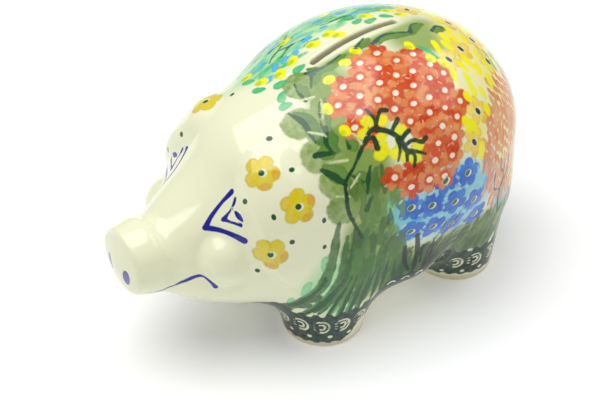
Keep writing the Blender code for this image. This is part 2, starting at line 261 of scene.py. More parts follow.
def coin_slot(points):
    """Signed distance to the coin slot, with round ends and its glaze in place."""
    low, high = (np.array(corner) for corner in OPENING["coin_slot"])
    high[0] -= GLAZE_IN_SLOT
    past_end = np.maximum(np.abs(points[..., 1] - (low[1] + high[1]) / 2.0) - (high[1] - low[1]) / 2.0, 0.0)
    across = np.sqrt(points[..., 0] ** 2 + past_end ** 2) - high[0]
    return np.maximum(across, AXIS_Z - points[..., 2])


def plug_hole(points):
    """Signed distance to the hole in the belly and the wider seat below it."""
    reach = np.sqrt(points[..., 0] ** 2 + (points[..., 1] - PLUG_Y) ** 2)
    hole = np.maximum(reach - HOLE_RADIUS, points[..., 2] - AXIS_Z)
    seat = np.maximum(reach - SEAT_RADIUS, points[..., 2] - BELLY_FLAT)
    return np.minimum(hole, seat)


def clay(points):
    """Signed distance to the fired shell, with rounded slot lips and foot rims."""
    shell = soft_cut(pig(points), -points[..., 2], FOOT_EDGE)
    shell = soft_cut(shell, -coin_slot(points), LIP_EDGE)
    shell = soft_cut(shell, -plug_hole(points), SEAT_EDGE)
    return soft_cut(shell, -hollow(points), SEAT_EDGE)


# ---- Meshing ----

def gradient(field, points, nudge=0.0001):
    """The field's slope along each axis."""
    slopes = []
    for axis in range(3):
        step = np.zeros(3)
        step[axis] = nudge
        slopes.append((field(points + step) - field(points - step)) / (2.0 * nudge))
    return np.stack(slopes, -1)


def normals_of(field, points):
    """The directions in which the field grows fastest, which point out of the clay."""
    slope = gradient(field, points)
    return slope / np.maximum(np.sqrt((slope ** 2).sum(-1, keepdims=True)), 1e-9)


def onto(field, points, limit, rounds=3):
    """Move points along the slope of the field until they lie on its zero level."""
    for _ in range(rounds):
        slope = gradient(field, points)
        length = np.maximum((slope ** 2).sum(-1, keepdims=True), 0.05)
        move = -field(points)[..., None] * slope / length
        size = np.sqrt((move ** 2).sum(-1, keepdims=True))
        points = points + move * np.minimum(1.0, limit / np.maximum(size, 1e-9))
    return points


def surface_net(field, low, high, step):
    """Vertices and quads of the field's zero level, one vertex in each grid cell it crosses."""
    axes = [np.arange(start, end + step, step) for start, end in zip(low, high)]
    inside = field(np.stack(np.meshgrid(*axes, indexing="ij"), -1)) < 0.0
    corners = np.zeros([n - 1 for n in inside.shape], int)
    for dx in (0, 1):
        for dy in (0, 1):
            for dz in (0, 1):
                nx, ny, nz = corners.shape
                corners += inside[dx:dx + nx, dy:dy + ny, dz:dz + nz]
    cells = np.argwhere((corners > 0) & (corners < 8))
    number = np.full(corners.shape, -1)
    number[tuple(cells.T)] = np.arange(len(cells))
    points = np.array(low) + (cells + 0.5) * step
    quads = []
    for axis in range(3):
        across, up = (axis + 1) % 3, (axis + 2) % 3
        ahead = np.take(inside, range(1, inside.shape[axis]), axis)
        behind = np.take(inside, range(inside.shape[axis] - 1), axis)
        for leaving in (True, False):
            edges = np.argwhere((behind & ~ahead) if leaving else (ahead & ~behind))
            ring = []
            for shift_across, shift_up in ((0, 0), (-1, 0), (-1, -1), (0, -1)):
                cell = edges.copy()
                cell[:, across] += shift_across
                cell[:, up] += shift_up
                ring.append(number[tuple(cell.T)])
            quads.append(np.stack(ring if leaving else ring[::-1], -1))
    return points, np.concatenate(quads)


def relax(field, points, quads, rounds, limit):
    """Even out the spacing of a surface's vertices and keep them on the surface."""
    for _ in range(rounds):
        total = np.zeros_like(points)
        count = np.zeros(len(points))
        for side in range(4):
            first, second = quads[:, side], quads[:, (side + 1) % 4]
            np.add.at(total, first, points[second])
            np.add.at(total, second, points[first])
            np.add.at(count, first, 1)
            np.add.at(count, second, 1)
        points = onto(field, points * 0.5 + total / count[:, None] * 0.5, limit)
    return points


def divide(points, quads, fine):
    """Split each quad marked fine into FINE by FINE. Its neighbours take in the new points on their edges."""
    steps = np.arange(1, FINE) / FINE
    ends = np.stack([quads, np.roll(quads, -1, 1)], -1).reshape(-1, 2)
    edges, edge_of = np.unique(np.sort(ends, 1), axis=0, return_inverse=True)
    edge_of = edge_of.reshape(-1, 4)
    used = np.zeros(len(edges), bool)
    used[edge_of[fine].ravel()] = True
    edge_start = np.full(len(edges), -1)
    edge_start[used] = len(points) + np.arange(used.sum()) * (FINE - 1)
    first, second = points[edges[used, 0]], points[edges[used, 1]]
    between = first[:, None] + (second - first)[:, None] * steps[None, :, None]
    backwards = (ends[:, 0] > ends[:, 1]).reshape(-1, 4)
    chosen = quads[fine]
    across, down = (share[None, ..., None] for share in np.meshgrid(steps, steps, indexing="ij"))
    c0, c1, c2, c3 = (points[chosen[:, i], None, None] for i in range(4))
    inner = (c0 * (1 - across) + c1 * across) * (1 - down) + (c3 * (1 - across) + c2 * across) * down
    inner_start = len(points) + len(between) * (FINE - 1)
    grid = np.zeros((len(chosen), FINE + 1, FINE + 1), int)
    grid[:, 0, 0], grid[:, -1, 0], grid[:, -1, -1], grid[:, 0, -1] = chosen.T
    grid[:, 1:-1, 1:-1] = inner_start + np.arange(inner.size // 3).reshape(inner.shape[:3])

    def along(side):
        numbers = edge_start[edge_of[fine, side]][:, None] + np.arange(FINE - 1)
        return np.where(backwards[fine, side][:, None], numbers[:, ::-1], numbers)

    grid[:, 1:-1, 0] = along(0)
    grid[:, -1, 1:-1] = along(1)
    grid[:, 1:-1, -1] = along(2)[:, ::-1]
    grid[:, 0, 1:-1] = along(3)[:, ::-1]
    small = np.stack([grid[:, :-1, :-1], grid[:, 1:, :-1], grid[:, 1:, 1:], grid[:, :-1, 1:]], -1)
    faces = small.reshape(-1, 4).tolist()
    for quad in np.nonzero(~fine)[0]:
        face = []
        for side in range(4):
            face.append(int(quads[quad, side]))
            start = edge_start[edge_of[quad, side]]
            if start >= 0:
                extra = [int(start) + i for i in range(FINE - 1)]
                face += extra[::-1] if backwards[quad, side] else extra
        faces.append(face)
    return np.concatenate([points, between.reshape(-1, 3), inner.reshape(-1, 3)]), faces


def skin(field, low, high, step, fine_part=None):
    """A fine mesh of the field's zero level, left coarse where fine_part, a test of points, says no."""
    points, quads = surface_net(field, low, high, step)
    points = relax(field, onto(field, points, step, 6), quads, 3, step)
    middles = points[quads].mean(1)
    fine = fine_part(middles) if fine_part else np.ones(len(quads), bool)
    points, faces = divide(points, quads, fine)
    return onto(field, points, step * 0.4), faces


def split(points, faces, value):
    """Cut a mesh where the value at its vertices changes sign: points, faces below and faces above."""
    points, value = list(points), list(value)
    cuts = {}
    below, above = [], []

    def crossing(first, second):
        key = (min(first, second), max(first, second))
        if key not in cuts:
            share = value[first] / (value[first] - value[second])
            cuts[key] = len(points)
            points.append(points[first] + (points[second] - points[first]) * share)
        return cuts[key]

    for face in faces:
        signs = [value[corner] > 0.0 for corner in face]
        if all(signs):
            above.append(face)
        elif not any(signs):
            below.append(face)
        else:
            parts = {True: [], False: []}
            for place, corner in enumerate(face):
                after = (place + 1) % len(face)
                parts[signs[place]].append(corner)
                if signs[place] != signs[after]:
                    cut = crossing(corner, face[after])
                    parts[True].append(cut)
                    parts[False].append(cut)
            above.append(parts[True])
            below.append(parts[False])
    return np.array(points), below, above


def only_used(points, faces):
    """The points that the faces use, and the faces renumbered to them."""
    used = np.unique(np.concatenate([np.array(face) for face in faces]))
    number = np.full(len(points), -1)
    number[used] = np.arange(len(used))
    return points[used], [[int(number[corner]) for corner in face] for face in faces]


def piece(name, points, faces, field, finish, body, slot, *nodes):
    """One visible piece with the field's own normals, riding on a body in place of CAD nodes."""
    mesh = bpy.data.meshes.new(name)
    mesh.from_pydata(points.tolist(), [], faces)
    close_cut(mesh)
    mesh.shade_smooth()
    mesh.normals_split_custom_set_from_vertices(normals_of(field, points).tolist())
    mesh.materials.append(finish)
    new = bpy.data.objects.new(name, mesh)
    bpy.context.scene.collection.objects.link(new)
    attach(new, body)
    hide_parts(*nodes)
    return new


def close_cut(mesh):
    """Join the outer and inner rims of a shell's cut with a band of faces."""
    work = bmesh.new()
    work.from_mesh(mesh)
    rim = [edge for edge in work.edges if edge.is_boundary]
    if rim:
        bmesh.ops.bridge_loops(work, edges=rim)
    work.to_mesh(mesh)
    work.free()


# ---- Places on the pig, in millimetres ----

def cast(origins, directions, reach=0.09, field=pig):
    """Where rays from inside the pig leave it."""
    near = np.zeros(len(origins))
    far = np.full(len(origins), reach)
    for _ in range(20):
        middle = (near + far) / 2.0
        inside = field(origins + directions * middle[:, None]) < 0.0
        near = np.where(inside, middle, near)
        far = np.where(inside, far, middle)
    return origins + directions * near[:, None]


def round_axis(y, turn):
    """Points on the pig at y along its long axis, turn radians from the top towards its left side."""
    origins = np.stack([np.zeros_like(y), y, np.full_like(y, AXIS_Z)], -1)
    directions = np.stack([np.sin(turn), np.zeros_like(y), np.cos(turn)], -1)
    return cast(origins, directions)


MAP_FROM = -84.0
MAP_STEP = 1.0
MAP_TURN_STEP = 3.0
MAP = round_axis(*(grid.ravel() for grid in np.meshgrid(
    np.arange(MAP_FROM, 81.0, MAP_STEP) / 1000.0, np.radians(np.arange(-180.0, 181.0, MAP_TURN_STEP)),
    indexing="ij"))).reshape(-1, int(360 / MAP_TURN_STEP) + 1, 3) * 1000.0


def spot(y, turn):
    """Point on the pig, y millimetres along and turn degrees round from the top towards its left side."""
    row = np.clip((np.asarray(y, float) - MAP_FROM) / MAP_STEP, 0.0, len(MAP) - 1.001)
    column = np.clip((np.asarray(turn, float) + 180.0) / MAP_TURN_STEP, 0.0, MAP.shape[1] - 1.001)
    row_low, column_low = row.astype(int), column.astype(int)
    row_share, column_share = (row - row_low)[..., None], (column - column_low)[..., None]
    low = MAP[row_low, column_low] * (1 - column_share) + MAP[row_low, column_low + 1] * column_share
    high = MAP[row_low + 1, column_low] * (1 - column_share) + MAP[row_low + 1, column_low + 1] * column_share
    return low * (1 - row_share) + high * row_share


def unit(vector):
    return vector / max(float(np.sqrt((vector ** 2).sum())), 1e-9)


class Place:
    """A point on the pig in millimetres, with the directions towards the tail and down the left side."""

    def __init__(self, centre, tailward, down):
        self.centre = np.asarray(centre, float)
        self.tailward = unit(tailward)
        self.down = unit(down - self.tailward * (down @ self.tailward))


def at(y, turn):
    """The place at a spot (y, turn)."""
    tailward = spot(y + 1.0, turn) - spot(y - 1.0, turn)
    away = 1.5 if turn >= 0.0 else -1.5
    down = spot(y, turn + away) - spot(y, turn - away)
    return Place(spot(y, turn), tailward, down)


def facing(centre, normal):
    """The place at a point with a known normal, as on a foot, the rump or the snout's disc."""
    level = np.cross((0.0, 0.0, 1.0), normal)
    if abs(normal[2]) > 0.98:
        level = np.array([0.0, 1.0, 0.0])
    return Place(centre, level, np.cross(level, normal))


# ---- Colours ----

def srgb(red, green, blue):
    """A colour given as it looks on a screen, from 0 to 255, as the linear one that shading needs."""
    value = np.array([red, green, blue]) / 255.0
    return np.where(value <= 0.04045, value / 12.92, ((value + 0.055) / 1.055) ** 2.4)


CREAM = srgb(240, 242, 207)
WARM_WHITE = srgb(250, 236, 216)
SAGE_LIGHT = srgb(214, 224, 170)
SAGE_PALE = srgb(144, 170, 80)
SAGE = srgb(118, 152, 66)
SAGE_DEEP = srgb(80, 134, 54)
GRASS = srgb(56, 118, 52)
GRASS_DARK = srgb(16, 76, 38)
LEAF_INK = srgb(18, 66, 44)
MINT = srgb(76, 192, 122)
MINT_LIGHT = srgb(140, 222, 154)
MINT_PALE = srgb(174, 230, 170)
RED = srgb(216, 72, 8)
RED_DEEP = srgb(206, 44, 4)
SALMON = srgb(228, 120, 52)
SALMON_PALE = srgb(238, 172, 112)
SALMON_LIGHT = srgb(248, 214, 184)
ORANGE = srgb(236, 104, 40)
AMBER = srgb(250, 212, 78)
AMBER_DEEP = srgb(244, 186, 30)
AMBER_PALE = srgb(252, 242, 146)
YELLOW = srgb(254, 248, 10)
YELLOW_GREEN = srgb(206, 222, 60)
OLIVE = srgb(160, 200, 0)
BLUE = srgb(6, 100, 212)
BLUE_DEEP = srgb(4, 70, 190)
BLUE_PALE = srgb(68, 164, 234)
SKY = srgb(124, 204, 228)
SKY_DEEP = srgb(92, 186, 240)
TURQUOISE = srgb(110, 205, 200)
SLATE = srgb(62, 96, 92)
BAND = srgb(4, 54, 52)
INK = srgb(24, 34, 34)
COBALT = srgb(22, 28, 146)
VIOLET = srgb(98, 98, 166)
DOT_GREEN = srgb(28, 84, 54)
EAR_YELLOW = srgb(226, 208, 14)
EAR_ORANGE = srgb(224, 158, 0)
BARE_CLAY = srgb(226, 216, 184)


def between(first, second, share):
    return first + (second - first) * np.asarray(share)[..., None]


# ---- Brush marks ----

LAYERS = ("wash", "petal", "stroke", "detail")
BARE_BELOW = 2.8             # the rim of a foot that the glaze leaves bare
PAINT_DEPTH = 0.0012         # in metres: further in than this, the clay isn't painted
FAR = 4.0                    # no distance to a mark's edge is kept beyond this
THINNEST = 0.84              # a thinner stroke would break up between the vertices


class Canvas:
    """The vertices of one piece in millimetres, and the layers of paint on them."""

    def __init__(self, points):
        self.points = points * 1000.0
        self.ground = np.tile(CREAM, (len(points), 1))
        self.edge = {layer: np.full(len(points), FAR) for layer in LAYERS}
        self.colour = {layer: np.tile(CREAM, (len(points), 1)) for layer in LAYERS}

    def near(self, place, reach):
        """The vertices within reach of a place, and where they lie from it, tailward and down."""
        offset = self.points - place.centre
        chosen = np.nonzero((offset ** 2).sum(1) < reach ** 2)[0]
        offset = offset[chosen]
        return chosen, offset @ place.tailward, offset @ place.down

    def add(self, layer, chosen, distance, colour, cover=1.0):
        """Lay a mark over the layer. cover is its strength over the marks that it overlaps."""
        edge, colours = self.edge[layer], self.colour[layer]
        old = edge[chosen]
        closer = (distance < 0.0) | (distance < old)
        share = np.where((distance < 0.0) & (old < 0.0), cover, 1.0)
        mixed = between(colours[chosen], colour, share)
        colours[chosen[closer]] = mixed[closer]
        edge[chosen] = np.minimum(old, distance)

    def tint(self, place, length, height, colour, strength=1.0, lean=0.0):
        """A soft patch of thin colour on the ground."""
        chosen, u, v = self.near(place, max(length, height) * 0.75)
        c, s = math.cos(math.radians(lean)), math.sin(math.radians(lean))
        level = np.sqrt(((u * c + v * s) / length * 2.0) ** 2 + ((v * c - u * s) / height * 2.0) ** 2)
        self.ground[chosen] = between(self.ground[chosen], colour, strength * smooth((1.35 - level) / 0.7))

    def dab(self, layer, place, length, width, colour, lean=0.0, taper=0.0, shift=(0.0, 0.0), cover=1.0):
        """An oval mark, or a drop with its blunt end forward if tapered. lean turns its long axis from
        tailward to downward, in degrees."""
        chosen, u, v = self.near(place, math.hypot(*shift) + length * 0.5 + 2.5)
        u, v = u - shift[0], v - shift[1]
        c, s = math.cos(math.radians(lean)), math.sin(math.radians(lean))
        u, v = u * c + v * s, v * c - u * s
        half = length / 2.0
        half_width = width / 2.0 * np.clip(1.0 - taper * u / half, 0.15, 2.0)
        level = np.sqrt((u / half) ** 2 + (v / half_width) ** 2)
        slope = np.sqrt((u / half ** 2) ** 2 + (v / half_width ** 2) ** 2) + 1e-6
        distance = np.maximum(level * (level - 1.0) / slope, -width / 2.0)
        self.add(layer, chosen, distance, colour, cover)

    def stroke(self, layer, spots, widths, colour, cover=1.0):
        """A brush stroke through spots (y, turn) or places, with widths spread evenly along it."""
        path = line(spots)
        radii = np.interp(np.linspace(0.0, 1.0, len(path)), np.linspace(0.0, 1.0, len(widths)), widths) / 2.0
        radii = np.maximum(radii, THINNEST / 2.0)
        low, high = path.min(0) - 3.0, path.max(0) + 3.0
        chosen = np.nonzero(((self.points > low) & (self.points < high)).all(1))[0]
        if not len(chosen):
            return
        offset = self.points[chosen, None] - path[None]
        distance = (np.sqrt((offset ** 2).sum(-1)) - radii[None]).min(1)
        self.add(layer, chosen, distance, colour, cover)


def line(spots):
    """Points every third of a millimetre along a smooth curve through the spots."""
    knots = np.array([place.centre if isinstance(place, Place) else spot(*place) for place in spots])
    if len(knots) > 2:
        flat = np.array([(0.0, 0.0) if isinstance(place, Place) else place for place in spots], float)
        on_map = not isinstance(spots[0], Place)
        base = flat if on_map else knots
        padded = np.concatenate([2 * base[:1] - base[1:2], base, 2 * base[-1:] - base[-2:-1]])
        share = np.linspace(0.0, 1.0, 9)[:-1, None]
        parts = []
        for a, b, c, d in zip(padded[:-3], padded[1:-2], padded[2:-1], padded[3:]):
            parts.append(0.5 * (2 * b + (c - a) * share + (2 * a - 5 * b + 4 * c - d) * share ** 2
                                + (3 * b - a - 3 * c + d) * share ** 3))
        curve = np.concatenate(parts + [base[-1:]])
        knots = spot(curve[:, 0], curve[:, 1]) if on_map else curve
    elif not isinstance(spots[0], Place):
        share = np.linspace(0.0, 1.0, 9)
        knots = spot(*(start + (end - start) * share for start, end in zip(*spots)))
    lengths = np.sqrt((np.diff(knots, axis=0) ** 2).sum(1))
    walked = np.concatenate([[0.0], np.cumsum(lengths)])
    count = max(2, int(walked[-1] / 0.33))
    steps = np.linspace(0.0, walked[-1], count)
    return np.stack([np.interp(steps, walked, knots[:, axis]) for axis in range(3)], -1)


def blossom(canvas, place, radius, petals, tones, turn=0.0, layer="petal", shade=None, ratio=0.95):
    """A flower of round petals. tones are the petals' colours, taken in turn. shade darkens its low side."""
    for petal in range(petals):
        angle = turn + 2.0 * math.pi * petal / petals
        shift = (radius * 0.56 * math.cos(angle), radius * 0.56 * math.sin(angle))
        width = 2.0 * radius * 0.56 * math.sin(math.pi / petals) * ratio * 1.12
        colour = tones[petal % len(tones)]
        canvas.dab(layer, place, radius * 0.9, width, colour, math.degrees(angle), -0.12, shift)
        if shade is not None and math.sin(angle) + 0.6 * math.cos(angle) > 0.35:
            tip = (shift[0] * 1.35, shift[1] * 1.35)
            canvas.dab(layer, place, radius * 0.42, width * 0.75, shade, math.degrees(angle), 0.0, tip, 0.75)
    canvas.dab(layer, place, radius * 0.7, radius * 0.7, tones[0], 0.0, 0.0, (0.0, 0.0), 0.6)


# ---- The painting ----
# Each spot is (y, turn): millimetres along the pig and degrees round from the top towards its left side.

RED_BALL = (13.0, 43.5)      # the big round head of small red flowers, and how far it reaches
RED_BALL_REACH = (23.0, 31.5)
TWIG_GAP = (5.5, 53.5)       # where the twig holds the red flowers apart
TWIG_GAP_REACH = (9.5, 10.0)
RED_SPACING = (7.3, 6.3)
TWIG_CLEARANCE = 2.2         # in millimetres: no pale centre is painted nearer than this to the twig
RUMP_BALL = (60.5, 78.0)     # the round head of short orange strokes on each side of the rump
RUMP_BALL_REACH = 24.5       # in millimetres

# How many strokes or dabs each loop lays at random.
FAN_BLADES = 13
SHORT_BLADES = 26
LOW_BLADES = 110
SKY_DABS = 60
MEADOW_STROKES = 190
GREY_STROKES = 40
RUMP_FLECKS = 3400           # places scattered over the barrel, of which the rump uses its own

# Each lobe has its size in millimetres after its spot.
LEAF_LOBES = ((-11, 7, 13), (-5, 14, 13), (-8, 27, 15), (-19, 25, 13), (-14, 34, 13), (-9, 38, 15),
              (-19, 45, 13), (-9, 49, 15), (-2, 52, 11), (-7, 59, 14), (-17, 60, 12), (-10, 69, 15),
              (-17, 75, 12), (-4, 72, 12))
LEAF_GAPS = (((-18, 32), (-14, 37)), ((-9, 20), (-12, 29)), ((-17, 50), (-11, 52)), ((-13, 65), (-9, 60)),
             ((-18, 67), (-14, 69)), ((-15, 14), (-10, 17)), ((-6, 42), (-5, 48)))
# Ribs and twigs are spots to brush through, and widths in millimetres spread along them.
LEAF_RIBS = (
    (((-7, 3), (-5, 7)), (1.8, 1.0)),
    (((-6, 6), (-9, 12)), (1.4, 1.0)),
    (((-12, 4), (-13, 9), (-13, 16)), (0.8, 1.2, 2.0)),
    (((-20, 17), (-18, 26), (-18, 32), (-18, 38)), (0.8, 2.8, 2.2, 0.9)),
    (((-10, 21), (-12, 26), (-14, 33)), (0.8, 1.1, 0.7)),
    (((-13, 34), (-15, 41), (-14, 47)), (2.6, 2.2, 0.7)),
    (((-20, 44), (-15, 46)), (2.6, 1.8)),
    (((-20, 52), (-17, 57), (-14, 63)), (1.8, 3.4, 1.6)),
    (((-9, 43), (-9, 47)), (1.0, 1.8)),
    (((-11, 60), (-9, 64)), (1.4, 2.2)),
    (((-5, 58), (-7, 64), (-8, 70)), (1.0, 2.0, 1.0)),
    (((-7, 72), (-9, 78)), (1.4, 2.2)),
)
STEM = ((-3, 46), (-6, 50), (-10, 56), (-14, 62), (-15, 71), (-15, 77), (-14, 82), (-11, 93))
TWIG = (
    (((-4, 48), (-1, 44), (2, 45), (5, 48), (7, 52), (8, 58)), (1.6, 1.9, 1.7)),
    (((1, 45), (2, 40), (1, 35)), (1.6, 1.2)),
    (((2, 42), (5, 38), (7, 39)), (1.3, 1.7)),
    (((5, 48), (7, 46), (9, 44)), (1.5, 1.8)),
    (((7, 53), (9, 51), (11, 50)), (1.3, 1.9)),
    (((8, 55), (11, 54), (14, 56), (16, 55)), (1.4, 1.9)),
    (((8, 57), (10, 58), (14, 61)), (1.5, 1.2)),
    (((6, 51), (6, 55), (4, 60)), (1.3, 1.1)),
    (((8, 57), (7, 61)), (1.5, 1.2)),
    (((8, 57), (10, 60), (9, 64)), (1.3, 1.5)),
    (((-3, 47), (-1, 47), (-1, 52)), (1.2, 2.0)),
)
TWIG_YELLOWS = ((0, 40), (4, 42), (1, 49), (1, 54), (8, 48), (12, 57), (7, 59), (-3, 44), (4, 57), (10, 61))
BALL_YELLOWS = ((11, 8), (5, 11), (-3, 14), (-9, 26), (29, 17), (33, 26), (37, 30), (-8, 39))
BLUE_BLOSSOMS = ((6, 82), (14, 84), (24, 87), (34, 92), (20, 75), (30, 76), (7, 96), (16, 97), (25, 101),
                 (38, 105))
AMBER_BLOSSOMS = ((49, 25), (40, 29), (60, 19), (56, 5), (45, -9), (41, 54), (35, 65), (60, 34), (66, -4),
                  (57, -16))
YELLOW_DABS = ((46, 17), (44, 22), (55, 19), (56, 29), (48, 32), (38, 36), (44, 34), (43, 40), (43, 45),
               (39, 47), (47, 48), (54, 44), (39, 21), (51, 12), (62, 27), (37, 59), (38, 70), (34, 57),
               (64, 10), (51, 37), (50, 18), (58, 36), (52, 3), (46, 55), (60, 11))
FAR_YELLOWS = ((27, -10), (10, -9), (12, -5), (3, -9), (-6, -9), (-12, -8), (-18, -13), (-18, -28), (37, -10),
               (39, -4), (0, -27), (20, -30))
FAR_BLUES = ((31, -19), (23, -22), (12, -16), (14, -24), (-3, -12), (-11, -15), (-16, -11), (-7, -14),
             (4, -15))
FAR_LEAVES = ((33, -5), (22, -8), (26, -5), (22, -14), (-7, -2), (-15, -2), (-18, 6), (-20, -22),
              (-21, -9), (-19, 12))
GRASS_WASHES = ((-8, 68), (-6, 80), (-10, 92), (-3, 94), (2, 104), (-14, 100), (-8, 112), (-16, 112))
GRASS_GLINTS = ((-25, 104, 9), (-31, 118, 9), (-34, 132, 8), (-24, 128, 12), (-14, 129, 9), (-19, 128, 9),
                (-5, 121, 8), (-1, 80, 8), (-1, 92, 7), (1, 71, 6))
BLACK_BLADES = (
    (((7, 107), (8, 116), (10, 122)), (1.6, 2.2, 1.4)),
    (((10, 99), (13, 113), (12, 124)), (1.6, 2.4, 1.4)),
    (((15, 110), (15, 120)), (1.4, 1.0)),
    (((19, 107), (20, 115), (19, 121)), (1.0, 1.2)),
)
FINE_BLADES = ((24, 112), (29, 111), (33, 113), (38, 114), (42, 118), (22, 96), (28, 94))
ANTLER = (
    ((52, 114), (51, 104), (53, 94), (53, 84)),
    ((51, 100), (47, 96), (46, 86)),
    ((52, 97), (56, 93), (57, 84)),
    ((53, 91), (50, 87), (50, 81)),
)
BACK_SQUIGGLES = (
    ((34, 10), (37, 6), (41, 5)),
    ((43, 12), (47, 9), (50, 11)),
    ((18, 9), (23, 7), (28, 8), (34, 10)),
    ((12, 7), (17, 4)),
    ((-6, 5), (0, 7), (6, 6)),
)
EYE_AND_MOUTH = (
    (((-46, 42), (-50, 48), (-54, 58), (-57, 70)), (1.9, 1.3, 1.4, 2.0)),
    (((-57, 70), (-52.5, 76), (-48.5, 83)), (2.0, 1.7, 2.4)),
    (((-46, 49), (-48.5, 57), (-51.5, 64.5)), (1.5, 0.7, 1.6)),
    (((-51.5, 64.5), (-49.8, 68), (-48, 71)), (1.2, 0.9, 1.3)),
    (((-47.8, 60), (-47.6, 63), (-47.2, 67)), (1.2, 2.2, 1.4)),
    (((-80, 152), (-76, 147), (-71, 138), (-68, 129), (-65, 121), (-62, 118), (-60, 121), (-58.6, 125)),
     (0.3, 0.6, 0.9, 1.5, 1.0, 1.9)),
)
BAND_BOTTOM = 3.1            # the dark band round a foot, in millimetres above the ground
BAND_TOP = 17.0
BAND_RISE = 8.5              # how far the band's top climbs where it leaves the foot
BAND_LEAVES_FOOT = 17.0      # distance from the leg's axis where that climb starts
BAND_CLIMB = 9.0             # and how far out it goes on
EYES_ROUND_FOOT = 13         # peacock eyes on each foot's band
EYE_HEIGHT = 0.0112          # in metres, as the legs are
DOT_HEIGHT = 0.0058
EAR_BLOSSOMS = ((-37.2, 41), (-31.4, 65), (-42.2, 89.5))
EAR_DOTS = ((-30, 24), (-29, 46), (-43.9, 54), (-38.8, 67), (-24, 77), (-35.6, 83), (-25, 92), (-46.5, 105))
RIGHT_EAR_BLOSSOMS = ((-33, -37), (-38, -66), (-40, -91))
RIGHT_EAR_DOTS = ((-27, -23), (-43, -48), (-29, -56), (-32, -78), (-45, -76), (-29, -98), (-47, -103))


def level_in(place, centre, reach):
    """Below 1 inside an oval of spots."""
    return ((place[0] - centre[0]) / reach[0]) ** 2 + ((place[1] - centre[1]) / reach[1]) ** 2


def scatter(count, rng):
    """Places spread evenly over the barrel, in random order."""
    index = np.arange(count) + 0.5
    height = 1.0 - 2.0 * index / count
    angle = index * math.pi * (3.0 - math.sqrt(5.0))
    flat = np.sqrt(1.0 - height ** 2)
    directions = np.stack([flat * np.cos(angle), height, flat * np.sin(angle)], -1)
    points = cast(np.tile(BARREL_AT, (count, 1)), directions)
    rng.shuffle(points)
    normals = normals_of(pig, points)
    return [facing(point * 1000.0, normal) for point, normal in zip(points, normals)]


def on_side(spots, side):
    """The spots, mirrored to the pig's right if side is -1."""
    return [(y, turn * side) for y, turn in spots]


def spot_of(place):
    """The spot (y, turn) that a place lies at."""
    x, y, z = place.centre
    return y, math.degrees(math.atan2(x, z - AXIS_Z * 1000.0))


def washes(canvas):
    """Thin colour under everything else on the back and flanks."""
    for y, turn, length, height, colour in (
            (-4, 30, 22, 40, SAGE_PALE), (-7, 62, 20, 34, SAGE_PALE), (-9, 96, 20, 26, SAGE_PALE),
            (-20, 118, 26, 30, MINT_PALE), (-2, 118, 30, 24, SAGE_PALE),
            (5, 7, 26, 7, SAGE_PALE), (38, 13, 30, 20, SAGE_PALE), (14, 6, 30, 5, SAGE_PALE),
            (3, 86, 10, 26, TURQUOISE), (24, 88, 46, 30, SKY), (54, 100, 14, 26, SKY),
            (33, 120, 60, 22, SAGE), (52, 122, 40, 18, SAGE_PALE),
            (55, 26, 26, 34, AMBER_PALE), (38, 58, 10, 30, AMBER_PALE), (52, -12, 26, 18, AMBER_PALE),
            (6, -30, 60, 26, MINT_PALE), (-10, -26, 22, 26, MINT_PALE), (28, -32, 34, 24, MINT_PALE),
            (60, 78, 28, 40, AMBER_PALE), (60, -78, 28, 40, AMBER_PALE),
            (10, -100, 50, 36, SKY), (30, -60, 44, 26, AMBER_PALE), (-5, -62, 20, 34, SAGE_PALE),
            (33, -120, 60, 22, SAGE), (-8, -118, 40, 26, SAGE_PALE)):
        canvas.tint(at(y, turn), length, height, colour, 0.9)
    canvas.tint(at(14.0, 1.0), 46.0, 7.5, CREAM)


def leaves(canvas, side, rng):
    """Overlapping round lobes of thin green, with darker ribs and pale slits between them."""
    for y, turn, size in LEAF_LOBES:
        if side < 0 and turn < 50:
            continue
        colour = between(SAGE, SAGE_PALE, rng.uniform(0.0, 0.75))
        width = size * rng.uniform(0.86, 1.0)
        canvas.dab("wash", at(y, turn * side), size, width, colour, rng.uniform(20, 70), cover=0.6)
    for spots, widths in LEAF_RIBS:
        if side < 0 and spots[0][1] < 45:
            continue
        offset = rng.uniform(1.0, 2.2)
        shadow = [(y + offset, (turn + rng.uniform(-1.5, 2.0)) * side) for y, turn in spots]
        widest = max(widths)
        canvas.stroke("petal", shadow, (widest * 0.6, widest * 1.5 + 1.6, widest * 0.7),
                      between(GRASS, SAGE, rng.uniform(0.2, 0.8)), 0.6)
        canvas.stroke("stroke", on_side(spots, side), [0.85 * width for width in widths],
                      between(LEAF_INK, GRASS, rng.uniform(0.15, 0.5)))
    for spots in LEAF_GAPS:
        if side < 0 and spots[0][1] < 45:
            continue
        canvas.stroke("stroke", on_side(spots, side), (0.4, 0.9, 0.4), SAGE_LIGHT)


